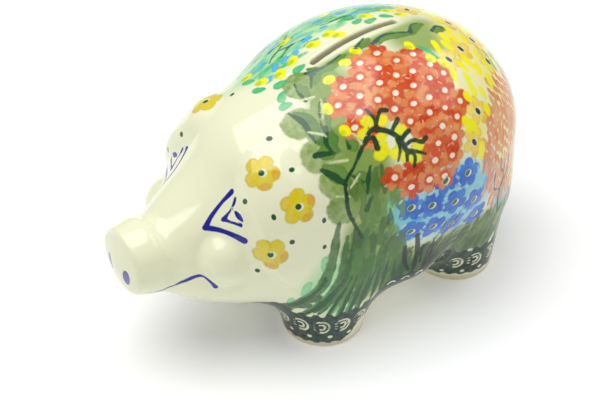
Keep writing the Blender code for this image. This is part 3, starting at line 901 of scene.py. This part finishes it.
def grass(canvas, side, rng):
    """Broad blades that fan out over the front leg, and shorter ones along the flank."""
    for y, turn in GRASS_WASHES:
        width = rng.uniform(9, 12)
        canvas.dab("wash", at(y, turn * side), 11.0, width, between(SAGE_DEEP, SAGE, rng.uniform(0, 1)), 90.0,
                   cover=0.6)
    for y, turn, length in GRASS_GLINTS:
        width = rng.uniform(2.4, 3.4)
        canvas.dab("petal", at(y, turn * side), length, width, MINT_LIGHT, rng.uniform(75, 110), 0.3)
    for blade in range(FAN_BLADES):
        share = blade / (FAN_BLADES - 1)
        top = (-20.0 + 26.0 * share + rng.uniform(-1, 1), 84.0 + 18.0 * share + rng.uniform(-4, 4))
        foot = (-36.0 + 42.0 * share + rng.uniform(-1, 1), 140.0 - 13.0 * share + rng.uniform(-3, 3))
        middle = (top[0] * 0.6 + foot[0] * 0.4 + rng.uniform(-1, 1), (top[1] + foot[1]) / 2.0)
        colour = between(GRASS_DARK, SAGE_DEEP, rng.uniform(0.3, 1.0))
        canvas.stroke("petal", on_side((top, middle, foot), side), (1.4, 3.2, 3.8, 3.4, 1.2), colour, 0.85)
        nudge = rng.uniform(-1.2, 1.2)
        inner = on_side([(y + nudge, turn) for y, turn in (middle, foot)], side)
        widths = (0.4, rng.uniform(1.6, 2.8), 1.0)
        canvas.stroke("stroke", inner, widths, between(GRASS_DARK, GRASS, 0.3), 0.7)
    for y, turn, length, lean in ((-32, 134, 13, 150), (-35, 141, 9, 165), (-29, 127, 11, 135)):
        canvas.dab("petal", at(y, turn * side), length, 4.6, GRASS_DARK, lean, 0.3)
    for blade in range(SHORT_BLADES):
        y = rng.uniform(-13, 5)
        turn = rng.uniform(58, 98)
        spots = [(y, turn * side), (y + rng.uniform(-2, 1), (turn + rng.uniform(7, 15)) * side)]
        colour = between(GRASS_DARK, SAGE, rng.uniform(0.1, 1.0))
        canvas.stroke("petal" if blade % 3 else "stroke", spots, (0.8, 2.8, 1.2), colour, 0.85)
    for _ in range(LOW_BLADES):
        y = rng.uniform(1, 68)
        turn = rng.uniform(108, 126)
        reach = rng.uniform(9, 18)
        spots = [(y + rng.uniform(1, 6), turn * side), (y, (turn + reach) * side)]
        colour = between(GRASS_DARK, SAGE, rng.uniform(0.0, 0.8) ** 1.3)
        canvas.stroke("petal", spots, (0.8, 2.8, 2.0), colour, 0.85)


def red_ball(canvas, rng):
    """Small red flowers that overlap into one mass, with pale centres."""
    columns, rows = 8, 12
    branches = np.concatenate([line(spots) for spots in (STEM, *(spots for spots, _ in TWIG))])
    for row in range(rows):
        for column in range(columns):
            along = (column - columns / 2.0 + 0.5 * (row % 2)) * RED_SPACING[0]
            round_pig = (row - rows / 2.0 + 0.5) * RED_SPACING[1]
            y = RED_BALL[0] + along + rng.uniform(-0.8, 0.8)
            turn = RED_BALL[1] + round_pig + rng.uniform(-0.8, 0.8)
            level = level_in((y, turn), RED_BALL, RED_BALL_REACH)
            beside_stem = y < -2.0 and turn > 43.0
            if level > 1.0 or beside_stem or level_in((y, turn), TWIG_GAP, TWIG_GAP_REACH) < 1.0:
                continue
            place = at(y, turn)
            canvas.dab("wash", place, 8.4, 8.2, between(SALMON_PALE, SALMON, rng.uniform(0.0, 0.5)))
            pale = between(SALMON_PALE, SALMON, rng.uniform(0.2, 0.9))
            deep = between(RED, RED_DEEP, rng.uniform(0.0, 0.8))
            turned = rng.uniform(0, 1)
            petals = [deep if rng.uniform() < 0.36 else between(pale, RED, rng.uniform(0, 0.45))
                      for _ in range(6)]
            blossom(canvas, place, 4.9, 6, petals, turned, ratio=1.0)
            canvas.dab("petal", place, 4.6, 4.6, deep, cover=0.8)
            for step in range(3):
                slit = turned + math.pi / 6.0 + 2.0 * math.pi * step / 3.0
                shift = (3.9 * math.cos(slit), 3.9 * math.sin(slit))
                canvas.dab("stroke", place, 1.5, 0.35, SALMON_LIGHT, math.degrees(slit), 0.0, shift, 0.7)
            length, width = rng.uniform(2.2, 2.7), rng.uniform(1.9, 2.3)
            if np.sqrt(((branches - place.centre) ** 2).sum(1)).min() > TWIG_CLEARANCE:
                canvas.dab("detail", place, length, width, WARM_WHITE)
    for y, turn in BALL_YELLOWS:
        place = at(y, turn)
        canvas.dab("stroke", place, 4.6, 3.6, YELLOW, rng.uniform(0, 90))
        canvas.dab("stroke", place, 2.4, 2.0, OLIVE, 0.0, 0.0, (-0.9, 0.6), 0.5)


def twig(canvas, rng):
    """The dark twig that parts the red flowers, with yellow dabs round it."""
    canvas.dab("petal", at(4, 53), 9.0, 8.0, YELLOW_GREEN, 20.0, cover=0.6)
    for y, turn in TWIG_YELLOWS:
        length = rng.uniform(4.5, 6.0)
        colour = between(YELLOW, OLIVE, rng.uniform(0, 0.3))
        canvas.dab("petal", at(y, turn), length, 4.2, colour, rng.uniform(-40, 60))
    canvas.dab("petal", at(4, 51), 3.0, 6.0, CREAM, 20.0)
    canvas.dab("petal", at(-1, 55), 4.6, 4.0, YELLOW, 20.0)
    for spots, widths in TWIG:
        canvas.stroke("stroke", spots, widths, between(LEAF_INK, INK, rng.uniform(0.0, 0.6)))
    canvas.stroke("stroke", STEM, (1.5, 1.2, 1.6, 1.0), LEAF_INK)


def blue_blossoms(canvas, side, rng):
    """Sky-blue dabs, and blue flowers with pale specks between their petals."""
    for _ in range(SKY_DABS):
        y, turn = rng.uniform(-1, 44), rng.uniform(73, 110)
        colour = (SKY, BLUE_PALE, SKY, BLUE_PALE)[rng.integers(0, 4)]
        length, width = rng.uniform(3, 6), rng.uniform(1.5, 3)
        canvas.dab("wash", at(y, turn * side), length, width, colour, rng.uniform(-60, 60))
    for y, turn in BLUE_BLOSSOMS:
        place = at(y, turn * side)
        petals = [between(BLUE, BLUE_DEEP if rng.uniform() < 0.6 else BLUE_PALE, rng.uniform(0, 0.5))
                  for _ in range(5)]
        blossom(canvas, place, 5.7, 5, petals, rng.uniform(0, 1.2), ratio=1.02)
        canvas.dab("petal", place, 4.8, 4.8, BLUE_DEEP, cover=0.6)
        for petal in range(5):
            gap = rng.uniform(0, 1.2) + 2.0 * math.pi * petal / 5.0
            shift = (5.2 * math.cos(gap), 5.2 * math.sin(gap))
            length, width = rng.uniform(1.4, 3.0), rng.uniform(0.5, 1.2)
            canvas.dab("stroke", place, length, width, between(SKY, CREAM, 0.6 * rng.uniform()),
                       math.degrees(gap) + 90.0, 0.0, shift, 0.7)
        canvas.dab("stroke", place, 3.3, 2.8, CREAM)
        canvas.dab("detail", place, 2.7, 2.0, between(SAGE_DEEP, INK, 0.4), -40.0, 0.0, (-0.3, -0.1))


def far_meadow(canvas, rng):
    """Mint, blue and yellow dabs on the far side of the coin slot, with thin grey strokes over them."""
    for _ in range(MEADOW_STROKES):
        y, turn = rng.uniform(-20, 50), -rng.uniform(10, 56)
        colour = (MINT, MINT_LIGHT, MINT, TURQUOISE, MINT, SKY_DEEP)[rng.integers(0, 6)]
        spots = [(y, turn), (y + rng.uniform(4, 12), turn + rng.uniform(-5, 5))]
        canvas.stroke("wash", spots, (0.8, rng.uniform(1.4, 3.4), 0.8), colour, 0.75)
    for _ in range(GREY_STROKES):
        y, turn = rng.uniform(-20, 46), -rng.uniform(16, 60)
        spots = [(y, turn), (y + rng.uniform(3, 6), turn + rng.uniform(-4, 2)),
                 (y + 10, turn + rng.uniform(-6, 4))]
        canvas.stroke("stroke", spots, (0.4, 0.9, 0.4), between(SLATE, SAGE_DEEP, rng.uniform(0, 0.8)))
    for y, turn in FAR_BLUES:
        canvas.dab("petal", at(y, turn), rng.uniform(3.4, 5.0), 2.6, SKY_DEEP, rng.uniform(-60, 60))
    for y, turn in FAR_LEAVES:
        canvas.dab("petal", at(y, turn), 5.4, 3.2, MINT, rng.uniform(-60, 60), 0.35)
    for y, turn in FAR_YELLOWS:
        canvas.dab("stroke", at(y, turn), rng.uniform(4.8, 6.0), 4.2, YELLOW, rng.uniform(-60, 60))
        canvas.dab("stroke", at(y, turn), 3.0, 2.6, OLIVE, 0.0, 0.0, (-1.0, 0.4), 0.7)


def back_and_amber(canvas, rng):
    """Sage strokes beside the coin slot, then amber flowers and yellow dabs towards the rump."""
    for y, turn in AMBER_BLOSSOMS:
        petals = [between(AMBER, AMBER_PALE, rng.uniform(0, 0.6)) for _ in range(5)]
        blossom(canvas, at(y, turn), 5.6, 5, petals, rng.uniform(0, 1.2), shade=AMBER_DEEP)
        canvas.dab("stroke", at(y, turn), 3.4, 3.0, CREAM)
        canvas.dab("detail", at(y, turn), 3.0, 2.0, between(SLATE, INK, 0.5), 60.0)
    for y, turn in YELLOW_DABS:
        canvas.dab("stroke", at(y, turn), rng.uniform(5.0, 7.0), rng.uniform(2.6, 3.4), YELLOW,
                   rng.uniform(60, 110), 0.2)
    for spots in BACK_SQUIGGLES:
        shadow = [(y + 1.0, turn + 1.5) for y, turn in spots]
        canvas.stroke("petal", shadow, (1.4, 4.2, 1.6), between(SAGE_DEEP, SAGE, 0.4), 0.6)
        canvas.stroke("stroke", spots, (1.9, 0.9, 0.7), SLATE)
    canvas.stroke("stroke", ((31, 18), (34, 22), (36, 27)), (1.0, 2.2, 1.0), MINT)
    for y, turn in ((62, 28), (62, 36), (67, 38), (66, 30)):
        canvas.dab("stroke", at(y, turn), 5.0, 1.6, MINT, 75.0)


def rump(canvas, places, rng):
    """Two dense heads of short orange strokes, one each side, with grass under them and amber above."""
    centres = [spot(RUMP_BALL[0], RUMP_BALL[1] * side) for side in (1, -1)]
    for place in places:
        y, turn = spot_of(place)
        height = place.centre[2]
        reach = min(math.dist(place.centre, centre) for centre in centres)
        if reach < RUMP_BALL_REACH + rng.uniform(-1.5, 1.5):
            colour = between(ORANGE, SALMON_PALE, rng.uniform(0.1, 0.95))
            length, width = rng.uniform(4.0, 6.4), rng.uniform(1.6, 2.4)
            canvas.dab("petal", place, length, width, colour, rng.uniform(75, 105), cover=0.8)
        elif y > 60.0 and 22.0 < height < 46.0:
            length, width = rng.uniform(8, 13), rng.uniform(1.6, 2.8)
            colour = between(GRASS_DARK, SAGE, rng.uniform(0.1, 0.9))
            canvas.dab("petal", place, length, width, colour, rng.uniform(75, 105), 0.3, cover=0.85)
        elif y > 62.0 and height > 46.0 and rng.uniform() < 0.5:
            colour = (AMBER, YELLOW, AMBER_PALE, MINT_LIGHT)[rng.integers(0, 4)]
            length, width = rng.uniform(2.6, 4.4), rng.uniform(1.6, 2.4)
            canvas.dab("petal", place, length, width, colour, rng.uniform(40, 130))


def ink_twigs(canvas, side):
    """Dark blades in front of the blue flowers, and the bare twig on the rump."""
    for spots, widths in BLACK_BLADES:
        canvas.stroke("stroke", on_side(spots, side), widths, INK)
    root = (16.0, 124.0)
    for y, turn in FINE_BLADES:
        bend = (y * 0.6 + root[0] * 0.4, turn * 0.55 + root[1] * 0.45)
        canvas.stroke("stroke", on_side((root, bend, (y, turn)), side), (0.9, 0.7, 0.4), INK)
    for spots in ANTLER:
        canvas.stroke("stroke", on_side(spots, side), (1.0, 0.9, 1.1), between(SLATE, INK, 0.5))


def foot_band(canvas):
    """A dark scalloped band round each foot, thinner where it follows the belly's edge between the feet."""
    x, y, z = canvas.points.T
    leg_ys = np.array(LEG_YS) * 1000.0
    reach = np.min([np.hypot(np.abs(x) - LEG_X * 1000.0, y - leg_y) for leg_y in leg_ys], 0)
    rise = smooth((reach - BAND_LEAVES_FOOT) / BAND_CLIMB)
    nearest_leg = leg_ys[np.argmin([np.abs(y - leg_y) for leg_y in leg_ys], 0)]
    angle = np.arctan2(np.abs(x) - LEG_X * 1000.0, y - nearest_leg)
    ripple = 1.4 * smooth(np.sin(angle * 22.0) + 0.5) * (1.0 - rise) + 0.5 * np.abs(np.sin(y * 0.7)) * rise
    lifted = 6.0 * smooth((y - leg_ys[0] + 3.0) / 10.0) * smooth((leg_ys[1] - 22.0 - y) / 8.0)
    top = BAND_TOP + BAND_RISE * rise + ripple
    behind = 1.4 * (y > np.mean(leg_ys))
    bottom = BAND_BOTTOM + behind + 16.0 * rise + lifted * (1.0 - rise) - 0.4 * ripple
    distance = np.maximum(z - top, bottom - z)
    chosen = np.nonzero(distance < FAR)[0]
    canvas.add("stroke", chosen, distance[chosen], BAND)


def foot_motifs(canvas):
    """Cream peacock eyes and dots round the feet, and small arcs on the band between them."""
    for side in (1, -1):
        for leg_y in LEG_YS:
            for step in range(EYES_ROUND_FOOT):
                turn = 2.0 * math.pi * step / EYES_ROUND_FOOT + 0.3
                outward = np.array([math.cos(turn) * side, math.sin(turn), 0.0])
                for height, low in ((EYE_HEIGHT, False), (DOT_HEIGHT, True)):
                    origin = np.array([[LEG_X * side, leg_y, height]])
                    point = cast(origin, outward[None], LEG_TOP_RADIUS + 0.0015)
                    if math.dist(point[0], origin[0]) > LEG_TOP_RADIUS:
                        continue
                    place = facing(point[0] * 1000.0, normals_of(pig, point)[0])
                    if low:
                        place.centre = place.centre + place.tailward * 3.2
                        canvas.dab("detail", place, 1.9, 1.5, CREAM)
                    else:
                        peacock_eye(canvas, place)
    for y in np.arange(4.0, 34.0, 6.0):
        for side in (1, -1):
            point = cast(np.array([[0.0, y / 1000.0, 0.0225]]), np.array([[side, 0.0, 0.0]]))
            place = facing(point[0] * 1000.0, normals_of(pig, point)[0])
            arc(canvas, place, 1.7, 200.0, 340.0, 0.6)


def arc(canvas, place, radius, start, end, width):
    """A cream arc round a place, between two angles in degrees, from tailward to downward."""
    turns = np.radians(np.linspace(start, end, 7))
    spots = [Place(place.centre + radius * (math.cos(turn) * place.tailward + math.sin(turn) * place.down),
                   place.tailward, place.down) for turn in turns]
    canvas.stroke("detail", spots, (width * 0.7, width, width * 0.7), CREAM)


def peacock_eye(canvas, place):
    """Two open rings, one in the other, and three short strokes in front of them."""
    arc(canvas, place, 3.0, -120.0, 100.0, 1.0)
    arc(canvas, place, 1.35, -120.0, 110.0, 0.9)
    for step in range(3):
        canvas.dab("detail", place, 1.5, 0.5, CREAM, -18.0 + 18.0 * step, 0.0, (-2.4, -1.5 + 1.5 * step))


def face(canvas):
    """Cobalt eyes and mouth, and nostrils on the snout's disc."""
    for side in (1, -1):
        for spots, widths in EYE_AND_MOUTH:
            canvas.stroke("detail", on_side(spots, side), widths, COBALT)
        normal = np.array([0.0, -math.cos(NOSE_TILT), -math.sin(NOSE_TILT)])
        disc = np.array(NOSE_AT) + normal * NOSE_HALF_DEPTH + np.array([0.0055 * side, 0.0, -0.0025])
        nostril = facing(disc * 1000.0, normal)
        canvas.dab("detail", nostril, 6.8, 3.7, between(VIOLET, COBALT, 0.2), 90.0 + 10.0 * side)
        canvas.dab("detail", nostril, 5.6, 2.6, VIOLET, 90.0 + 10.0 * side, cover=0.8)


def ear_flowers(canvas, rng):
    """Three yellow flowers on each ear, with dark green dots between them."""
    for y, turn in EAR_BLOSSOMS + RIGHT_EAR_BLOSSOMS:
        place = at(y, turn)
        petals = [between(EAR_YELLOW, EAR_ORANGE, rng.uniform(0, 0.25)) for _ in range(5)]
        blossom(canvas, place, 6.3, 5, petals, rng.uniform(0, 1.2), "petal", EAR_ORANGE, 1.16)
        canvas.dab("petal", place, 6.0, 6.0, petals[0], cover=0.5)
        canvas.dab("stroke", place, 3.0, 2.7, CREAM, 0.0, 0.0, (0.5, 0.2), 0.8)
        canvas.dab("detail", place, 2.2, 2.1, DOT_GREEN)
    for y, turn in EAR_DOTS + RIGHT_EAR_DOTS:
        length, width = rng.uniform(1.8, 2.4), rng.uniform(1.6, 2.0)
        canvas.dab("detail", at(y, turn), length, width, DOT_GREEN, rng.uniform(0, 90))


def paint(points):
    """The whole painting, as it falls on one piece's vertices."""
    canvas = Canvas(points)
    rng = np.random.default_rng(7)
    places = scatter(RUMP_FLECKS, rng)
    washes(canvas)
    for side in (1, -1):
        blue_blossoms(canvas, side, rng)
        leaves(canvas, side, rng)
        grass(canvas, side, rng)
    far_meadow(canvas, rng)
    rump(canvas, places, rng)
    red_ball(canvas, rng)
    back_and_amber(canvas, rng)
    twig(canvas, rng)
    for side in (1, -1):
        ink_twigs(canvas, side)
    foot_band(canvas)
    foot_motifs(canvas)
    face(canvas)
    ear_flowers(canvas, rng)
    rim = canvas.points[:, 2] < BARE_BELOW
    canvas.ground[rim] = BARE_CLAY
    within = pig(points) < -PAINT_DEPTH
    for layer in LAYERS:
        canvas.edge[layer][within] = FAR
    canvas.ground[within] = between(CREAM, BARE_CLAY, 0.6)
    return canvas


def lay_on(mesh, canvas):
    """Keep the painting as attributes of the mesh, for the glaze material."""
    for name, values in (("ground", canvas.ground), *((layer, canvas.colour[layer]) for layer in LAYERS)):
        attribute = mesh.attributes.new(name, "FLOAT_COLOR", "POINT")
        rgba = np.concatenate([values, np.ones((len(values), 1))], 1)
        attribute.data.foreach_set("color", rgba.astype(np.float32).ravel())
    for layer in LAYERS:
        attribute = mesh.attributes.new(layer + "_edge", "FLOAT", "POINT")
        attribute.data.foreach_set("value", canvas.edge[layer].astype(np.float32))


# ---- Materials ----

class Nodes:
    """A material's node tree, with short ways to add the nodes that this script uses."""

    def __init__(self, name):
        self.material = bpy.data.materials.new(name)
        self.material.use_nodes = True
        self.tree = self.material.node_tree
        self.shader = self.tree.nodes["Principled BSDF"]
        self.place = self.tree.nodes.new("ShaderNodeTexCoord").outputs["Object"]

    def add(self, kind, inputs=(), **settings):
        new = self.tree.nodes.new("ShaderNode" + kind)
        for name, value in settings.items():
            setattr(new, name, value)
        for name, value in dict(inputs).items():
            if isinstance(value, bpy.types.NodeSocket):
                self.tree.links.new(value, new.inputs[name])
            else:
                new.inputs[name].default_value = value
        return new

    def noise(self, scale, detail=2.0):
        inputs = {"Vector": self.place, "Scale": scale, "Detail": detail}
        return self.add("TexNoise", inputs).outputs["Fac"]

    def math(self, operation, first, second=0.0):
        return self.add("Math", {0: first, 1: second}, operation=operation).outputs[0]

    def ramp(self, value, start, end, low=0.0, high=1.0):
        inputs = {"Value": value, "From Min": start, "From Max": end, "To Min": low, "To Max": high}
        return self.add("MapRange", inputs, interpolation_type="SMOOTHSTEP").outputs["Result"]

    def mix(self, share, first, second, blend_type="MIX"):
        inputs = {"Factor": share, 6: first, 7: second}
        return self.add("Mix", inputs, data_type="RGBA", blend_type=blend_type).outputs[2]

    def attribute(self, name, output):
        return self.add("Attribute", attribute_name=name).outputs[output]

    def shader_input(self, name, value):
        if isinstance(value, bpy.types.NodeSocket):
            self.tree.links.new(value, self.shader.inputs[name])
        else:
            self.shader.inputs[name].default_value = value


# How each layer of paint lies: wobble of its edges in mm, softness of its edges in mm, thinnest cover,
# and how much darker the colour pools along its edges.
LAYER_LOOKS = {
    "wash": (1.2, 0.6, 0.72, 0.14),
    "petal": (0.7, 0.35, 0.86, 0.16),
    "stroke": (0.35, 0.25, 0.93, 0.05),
    "detail": (0.18, 0.18, 0.99, 0.0),
}


def glaze(name):
    """Underglaze painting on cream slip under a clear gloss glaze."""
    nodes = Nodes(name)
    colour = nodes.attribute("ground", "Color")
    broad = nodes.noise(90.0, 3.0)
    grainy = nodes.noise(520.0, 3.0)
    wobble = nodes.math("SUBTRACT", nodes.noise(260.0, 4.0), 0.5)
    for layer, (amount, softness, thinnest, pooling) in LAYER_LOOKS.items():
        edge = nodes.attribute(layer + "_edge", "Fac")
        edge = nodes.math("ADD", edge, nodes.math("MULTIPLY", wobble, amount * 2.0))
        cover = nodes.ramp(edge, softness, -softness)
        thin = nodes.ramp(nodes.mix(0.5, broad, grainy), 0.36, 0.60, 1.0, thinnest)
        mark = nodes.attribute(layer, "Color")
        pool = nodes.math("MULTIPLY", nodes.ramp(edge, -0.9, -0.1), pooling)
        mark = nodes.mix(pool, mark, (0.0, 0.0, 0.0, 1.0))
        colour = nodes.mix(nodes.math("MULTIPLY", cover, thin), colour, mark)
    # Rare brown specks in the glaze.
    speck = nodes.add("TexVoronoi", {"Vector": nodes.place, "Scale": 190.0})
    rare = nodes.ramp(nodes.add("SeparateColor", {"Color": speck.outputs["Color"]}).outputs[0], 0.95, 0.96)
    speck_cover = nodes.math("MULTIPLY", rare, nodes.ramp(speck.outputs["Distance"], 0.055, 0.02, 0.0, 0.55))
    colour = nodes.mix(speck_cover, colour, (*srgb(120, 96, 60), 1.0))
    nodes.shader_input("Base Color", colour)
    # The feet's unglazed rims are rougher.
    height = nodes.add("SeparateXYZ", {"Vector": nodes.place}).outputs["Z"]
    bare = nodes.ramp(height, 0.0034, 0.0026)
    nodes.shader_input("Roughness", nodes.math("ADD", nodes.math("MULTIPLY", bare, 0.5), 0.10))
    nodes.shader_input("IOR", 1.5)
    ripple = nodes.add("Bump", {"Height": nodes.noise(70.0, 2.0), "Strength": 0.25, "Distance": 0.0006})
    nodes.shader_input("Normal", ripple.outputs["Normal"])
    return nodes.material


def rubber(name):
    """Pale grey rubber with dusty patches and a fine matt grain."""
    nodes = Nodes(name)
    tone = nodes.mix(nodes.noise(220.0, 3.0), (*srgb(196, 194, 184), 1.0), (*srgb(176, 172, 160), 1.0))
    dust = nodes.ramp(nodes.noise(45.0, 4.0), 0.52, 0.72, 0.0, 0.35)
    nodes.shader_input("Base Color", nodes.mix(dust, tone, (*srgb(214, 208, 192), 1.0)))
    nodes.shader_input("Roughness", nodes.ramp(nodes.noise(300.0, 2.0), 0.3, 0.7, 0.5, 0.66))
    grain = nodes.add("Bump", {"Height": nodes.noise(1800.0, 2.0), "Strength": 0.3, "Distance": 0.0002})
    nodes.shader_input("Normal", grain.outputs["Normal"])
    return nodes.material


# ---- The pieces ----

BOX_LOW = (-0.056, -0.092, -0.006)
BOX_HIGH = (0.056, 0.090, 0.112)
VISIBLE_DEPTH = 0.7          # share of the wall, from outside, that is meshed finely


def seen(middles):
    """Not the inside of the wall, nor the plain middle of the underside, except round the plug hole."""
    x, y, z = middles.T
    under = (np.abs(x) < LEG_X - 0.005) & (z < 0.020) & (np.hypot(x, y - PLUG_Y) > SEAT_RADIUS + 0.001)
    return (pig(middles) > -WALL * VISIBLE_DEPTH) & ~under


def shells(finish_body, finish_head):
    """The fired shell, cut at the neck where the potter joined the head to the barrel."""
    points, faces = skin(clay, BOX_LOW, BOX_HIGH, NET_STEP, seen)
    across = (points - np.array(NECK_AT)) @ np.array([0.0, math.cos(NECK_LEAN), -math.sin(NECK_LEAN)])
    points, front, back = split(points, faces, across)
    for name, half, finish, slot, node in (
            ("glazed_head", front, finish_head, "cream_glaze", "head_shell"),
            ("glazed_body", back, finish_body, "painted_glaze", "body_shell")):
        own_points, own_faces = only_used(points, half)
        new = piece(name, own_points, own_faces, clay, finish, "stoneware", slot, node)
        lay_on(new.data, paint(own_points))


def ear(name, side, finish, node):
    """A flap of clay laid on the head: its glazed face runs out under the head's skin all round."""
    rings, sides = 44, 220
    under = 0.0012
    past_outline = 1.03
    proud = 0.00015
    share = np.repeat(np.arange(rings + 1) / rings * past_outline, sides)
    turn = np.tile(np.arange(sides) * 2.0 * math.pi / sides, rings + 1)
    corner = np.abs(np.cos(turn)) ** EAR_CORNER + np.abs(np.sin(turn)) ** EAR_CORNER
    stretch = share * corner ** (-1 / EAR_CORNER)
    y = EAR_Y + EAR_HALF_WIDTH * stretch * np.cos(turn)
    angle = EAR_ANGLE + EAR_HALF_ANGLE * stretch * np.sin(turn)
    base = round_axis(y, angle)
    outward = normals_of(pig, base)
    lower = base - outward * under
    over = cast(lower, outward, under + 0.006, lambda spots: with_ears(spots) + proud)
    points = np.concatenate([over, lower])
    points[:, 0] *= side
    faces = []
    below = len(over)
    for ring in range(rings):
        near, far = ring * sides, (ring + 1) * sides
        for step in range(sides):
            after = (step + 1) % sides
            faces.append([near + step, far + step, far + after, near + after])
            faces.append([below + near + step, below + near + after, below + far + after, below + far + step])
    rim = rings * sides
    for step in range(sides):
        after = (step + 1) % sides
        faces.append([rim + step, below + rim + step, below + rim + after, rim + after])
    if side > 0:
        faces = [face[::-1] for face in faces]
    new = piece(name, points, faces, with_ears, finish, "stoneware", "cream_glaze", node)
    lay_on(new.data, paint(points))


def tail_path():
    """The middle line of the tail's coil as it lies on the rump, and its radius along the way."""
    turns = np.linspace(0.0, TAIL_TURNS, 70)
    share = turns / TAIL_TURNS
    coil = TAIL_COIL * (1.0 - TAIL_CURL_IN * share)
    angle = math.pi + turns * 2.0 * math.pi
    x, z = coil * np.sin(angle), TAIL_ROOT_Z + coil * np.cos(angle)
    rump = cast(np.stack([x, np.full_like(x, BARREL_AT[1]), z], -1), np.tile([0.0, 1.0, 0.0], (len(x), 1)))
    radii = TAIL_ROOT_RADIUS + (TAIL_TIP_RADIUS - TAIL_ROOT_RADIUS) * share
    rump[:, 1] += radii * 0.75
    return rump, radii


def tail(finish):
    path, radii = tail_path()

    def curl(points):
        offset = points[..., None, :] - path
        return (np.sqrt((offset ** 2).sum(-1)) - radii).min(-1)

    low, high = path.min(0) - 0.005, path.max(0) + 0.005
    points, faces = skin(curl, low, high, SMALL_STEP)
    new = piece("glazed_tail", points, faces, curl, finish, "stoneware", "cream_glaze", "tail")
    lay_on(new.data, Canvas(points))


def stopper(finish):
    """A soft plug: flange with a finger tab below, groove for the clay wall, bead and hollow inside."""
    top = BELLY_FLAT - PLUG_DROP
    wall_top = BELLY_FLAT + WALL

    def disc(points, height, radius, half_depth, rounding):
        return rounded_disc(points, (0.0, PLUG_Y, height), (0.0, 0.0, 1.0), radius, half_depth, rounding)

    def plug(points):
        flange = disc(points, top - FLANGE_HALF, SEAT_RADIUS - FLANGE_GAP, FLANGE_HALF, FLANGE_ROUNDING)
        groove = disc(points, (top + wall_top) / 2, HOLE_RADIUS - GROOVE_GAP, GROOVE_HALF, GROOVE_ROUNDING)
        bead = disc(points, wall_top + BEAD_RISE, HOLE_RADIUS - BEAD_GAP, BEAD_HALF, BEAD_ROUNDING)
        shape = blend(flange, blend(groove, bead, PLUG_BLEND), PLUG_BLEND)
        cup = disc(points, wall_top + CUP_RISE, CUP_RADIUS, CUP_HALF, CUP_ROUNDING)
        shape = soft_cut(shape, -cup, PLUG_BLEND)
        tab = rounded_box(points, (0.0, PLUG_Y, top - TAB_DROP), TAB_HALF_SIZES, TAB_ROUNDING)
        shape = blend(shape, tab, TAB_BLEND)
        reach = np.sqrt(points[..., 0] ** 2 + (points[..., 1] - PLUG_Y) ** 2)
        ring = np.sqrt((reach - RING_RADIUS) ** 2 + (points[..., 2] - (top - RING_DROP)) ** 2) - RING_DEPTH
        return soft_cut(shape, -ring, RING_EDGE)

    low = (-0.020, PLUG_Y - 0.020, 0.0035)
    high = (0.020, PLUG_Y + 0.020, 0.022)
    points, faces = skin(plug, low, high, SMALL_STEP)
    piece("rubber_stopper", points, faces, plug, finish, "stopper", "stopper_rubber", "stopper")


# ---- Studio ----

CAMERA_TURN = math.radians(55.0)
CAMERA_RISE = math.radians(39.0)
CAMERA_DISTANCE = 0.520
CAMERA_TARGET = Vector((-0.0089, -0.0014, 0.0312))
LENS_MM = 81.5


def toward(turn, rise):
    """The direction turn round from the snout towards the left side, and rise above the floor."""
    return Vector((math.sin(turn) * math.cos(rise), -math.cos(turn) * math.cos(rise), math.sin(rise)))


def aim(new, back, distance):
    """Place an object out along a direction, looking back at the camera's target, and link it."""
    new.location = CAMERA_TARGET + back * distance
    new.rotation_euler = back.to_track_quat("Z", "Y").to_euler()
    bpy.context.scene.collection.objects.link(new)


def camera():
    new = bpy.data.objects.new("camera", bpy.data.cameras.new("camera"))
    new.data.lens = LENS_MM
    new.data.sensor_width = 36.0
    new.data.clip_start = 0.01
    aim(new, toward(CAMERA_TURN, CAMERA_RISE), CAMERA_DISTANCE)
    bpy.context.scene.camera = new


def soft_light(name, turn, rise, distance, width, height, power):
    """A softbox that faces the pig from a direction given in degrees."""
    lamp = bpy.data.lights.new(name, "AREA")
    lamp.shape = "RECTANGLE"
    lamp.size = width
    lamp.size_y = height
    lamp.energy = power
    aim(bpy.data.objects.new(name, lamp), toward(math.radians(turn), math.radians(rise)), distance)


def studio():
    """Camera, three softboxes, white surroundings and a white floor."""
    camera()
    soft_light("key", turn=-30.0, rise=75.0, distance=1.2, width=1.15, height=1.15, power=14.0)
    soft_light("side", turn=100.0, rise=35.0, distance=1.2, width=0.5, height=0.9, power=0.4)
    soft_light("back", turn=165.0, rise=45.0, distance=1.3, width=1.0, height=0.6, power=3.6)
    world = bpy.data.worlds.new("studio")
    world.use_nodes = True
    background = world.node_tree.nodes["Background"]
    background.inputs["Color"].default_value = (1.0, 1.0, 1.0, 1.0)
    background.inputs["Strength"].default_value = 0.22
    bpy.context.scene.world = world
    bpy.context.scene.view_settings.view_transform = "Standard"
    bpy.ops.mesh.primitive_plane_add(size=6.0)
    floor = bpy.context.object
    floor.name = "floor"
    white = Nodes("studio_floor")
    white.shader_input("Base Color", (0.90, 0.90, 0.90, 1.0))
    white.shader_input("Roughness", 0.7)
    white.shader_input("Emission Color", (1.0, 1.0, 1.0, 1.0))
    white.shader_input("Emission Strength", 0.20)
    floor.data.materials.append(white.material)


studio()
cream = glaze("cream_glaze")
painted = glaze("painted_glaze")
shells(painted, cream)
ear("glazed_left_ear", 1, cream, "left_ear")
ear("glazed_right_ear", -1, cream, "right_ear")
tail(cream)
stopper(rubber("stopper_rubber"))
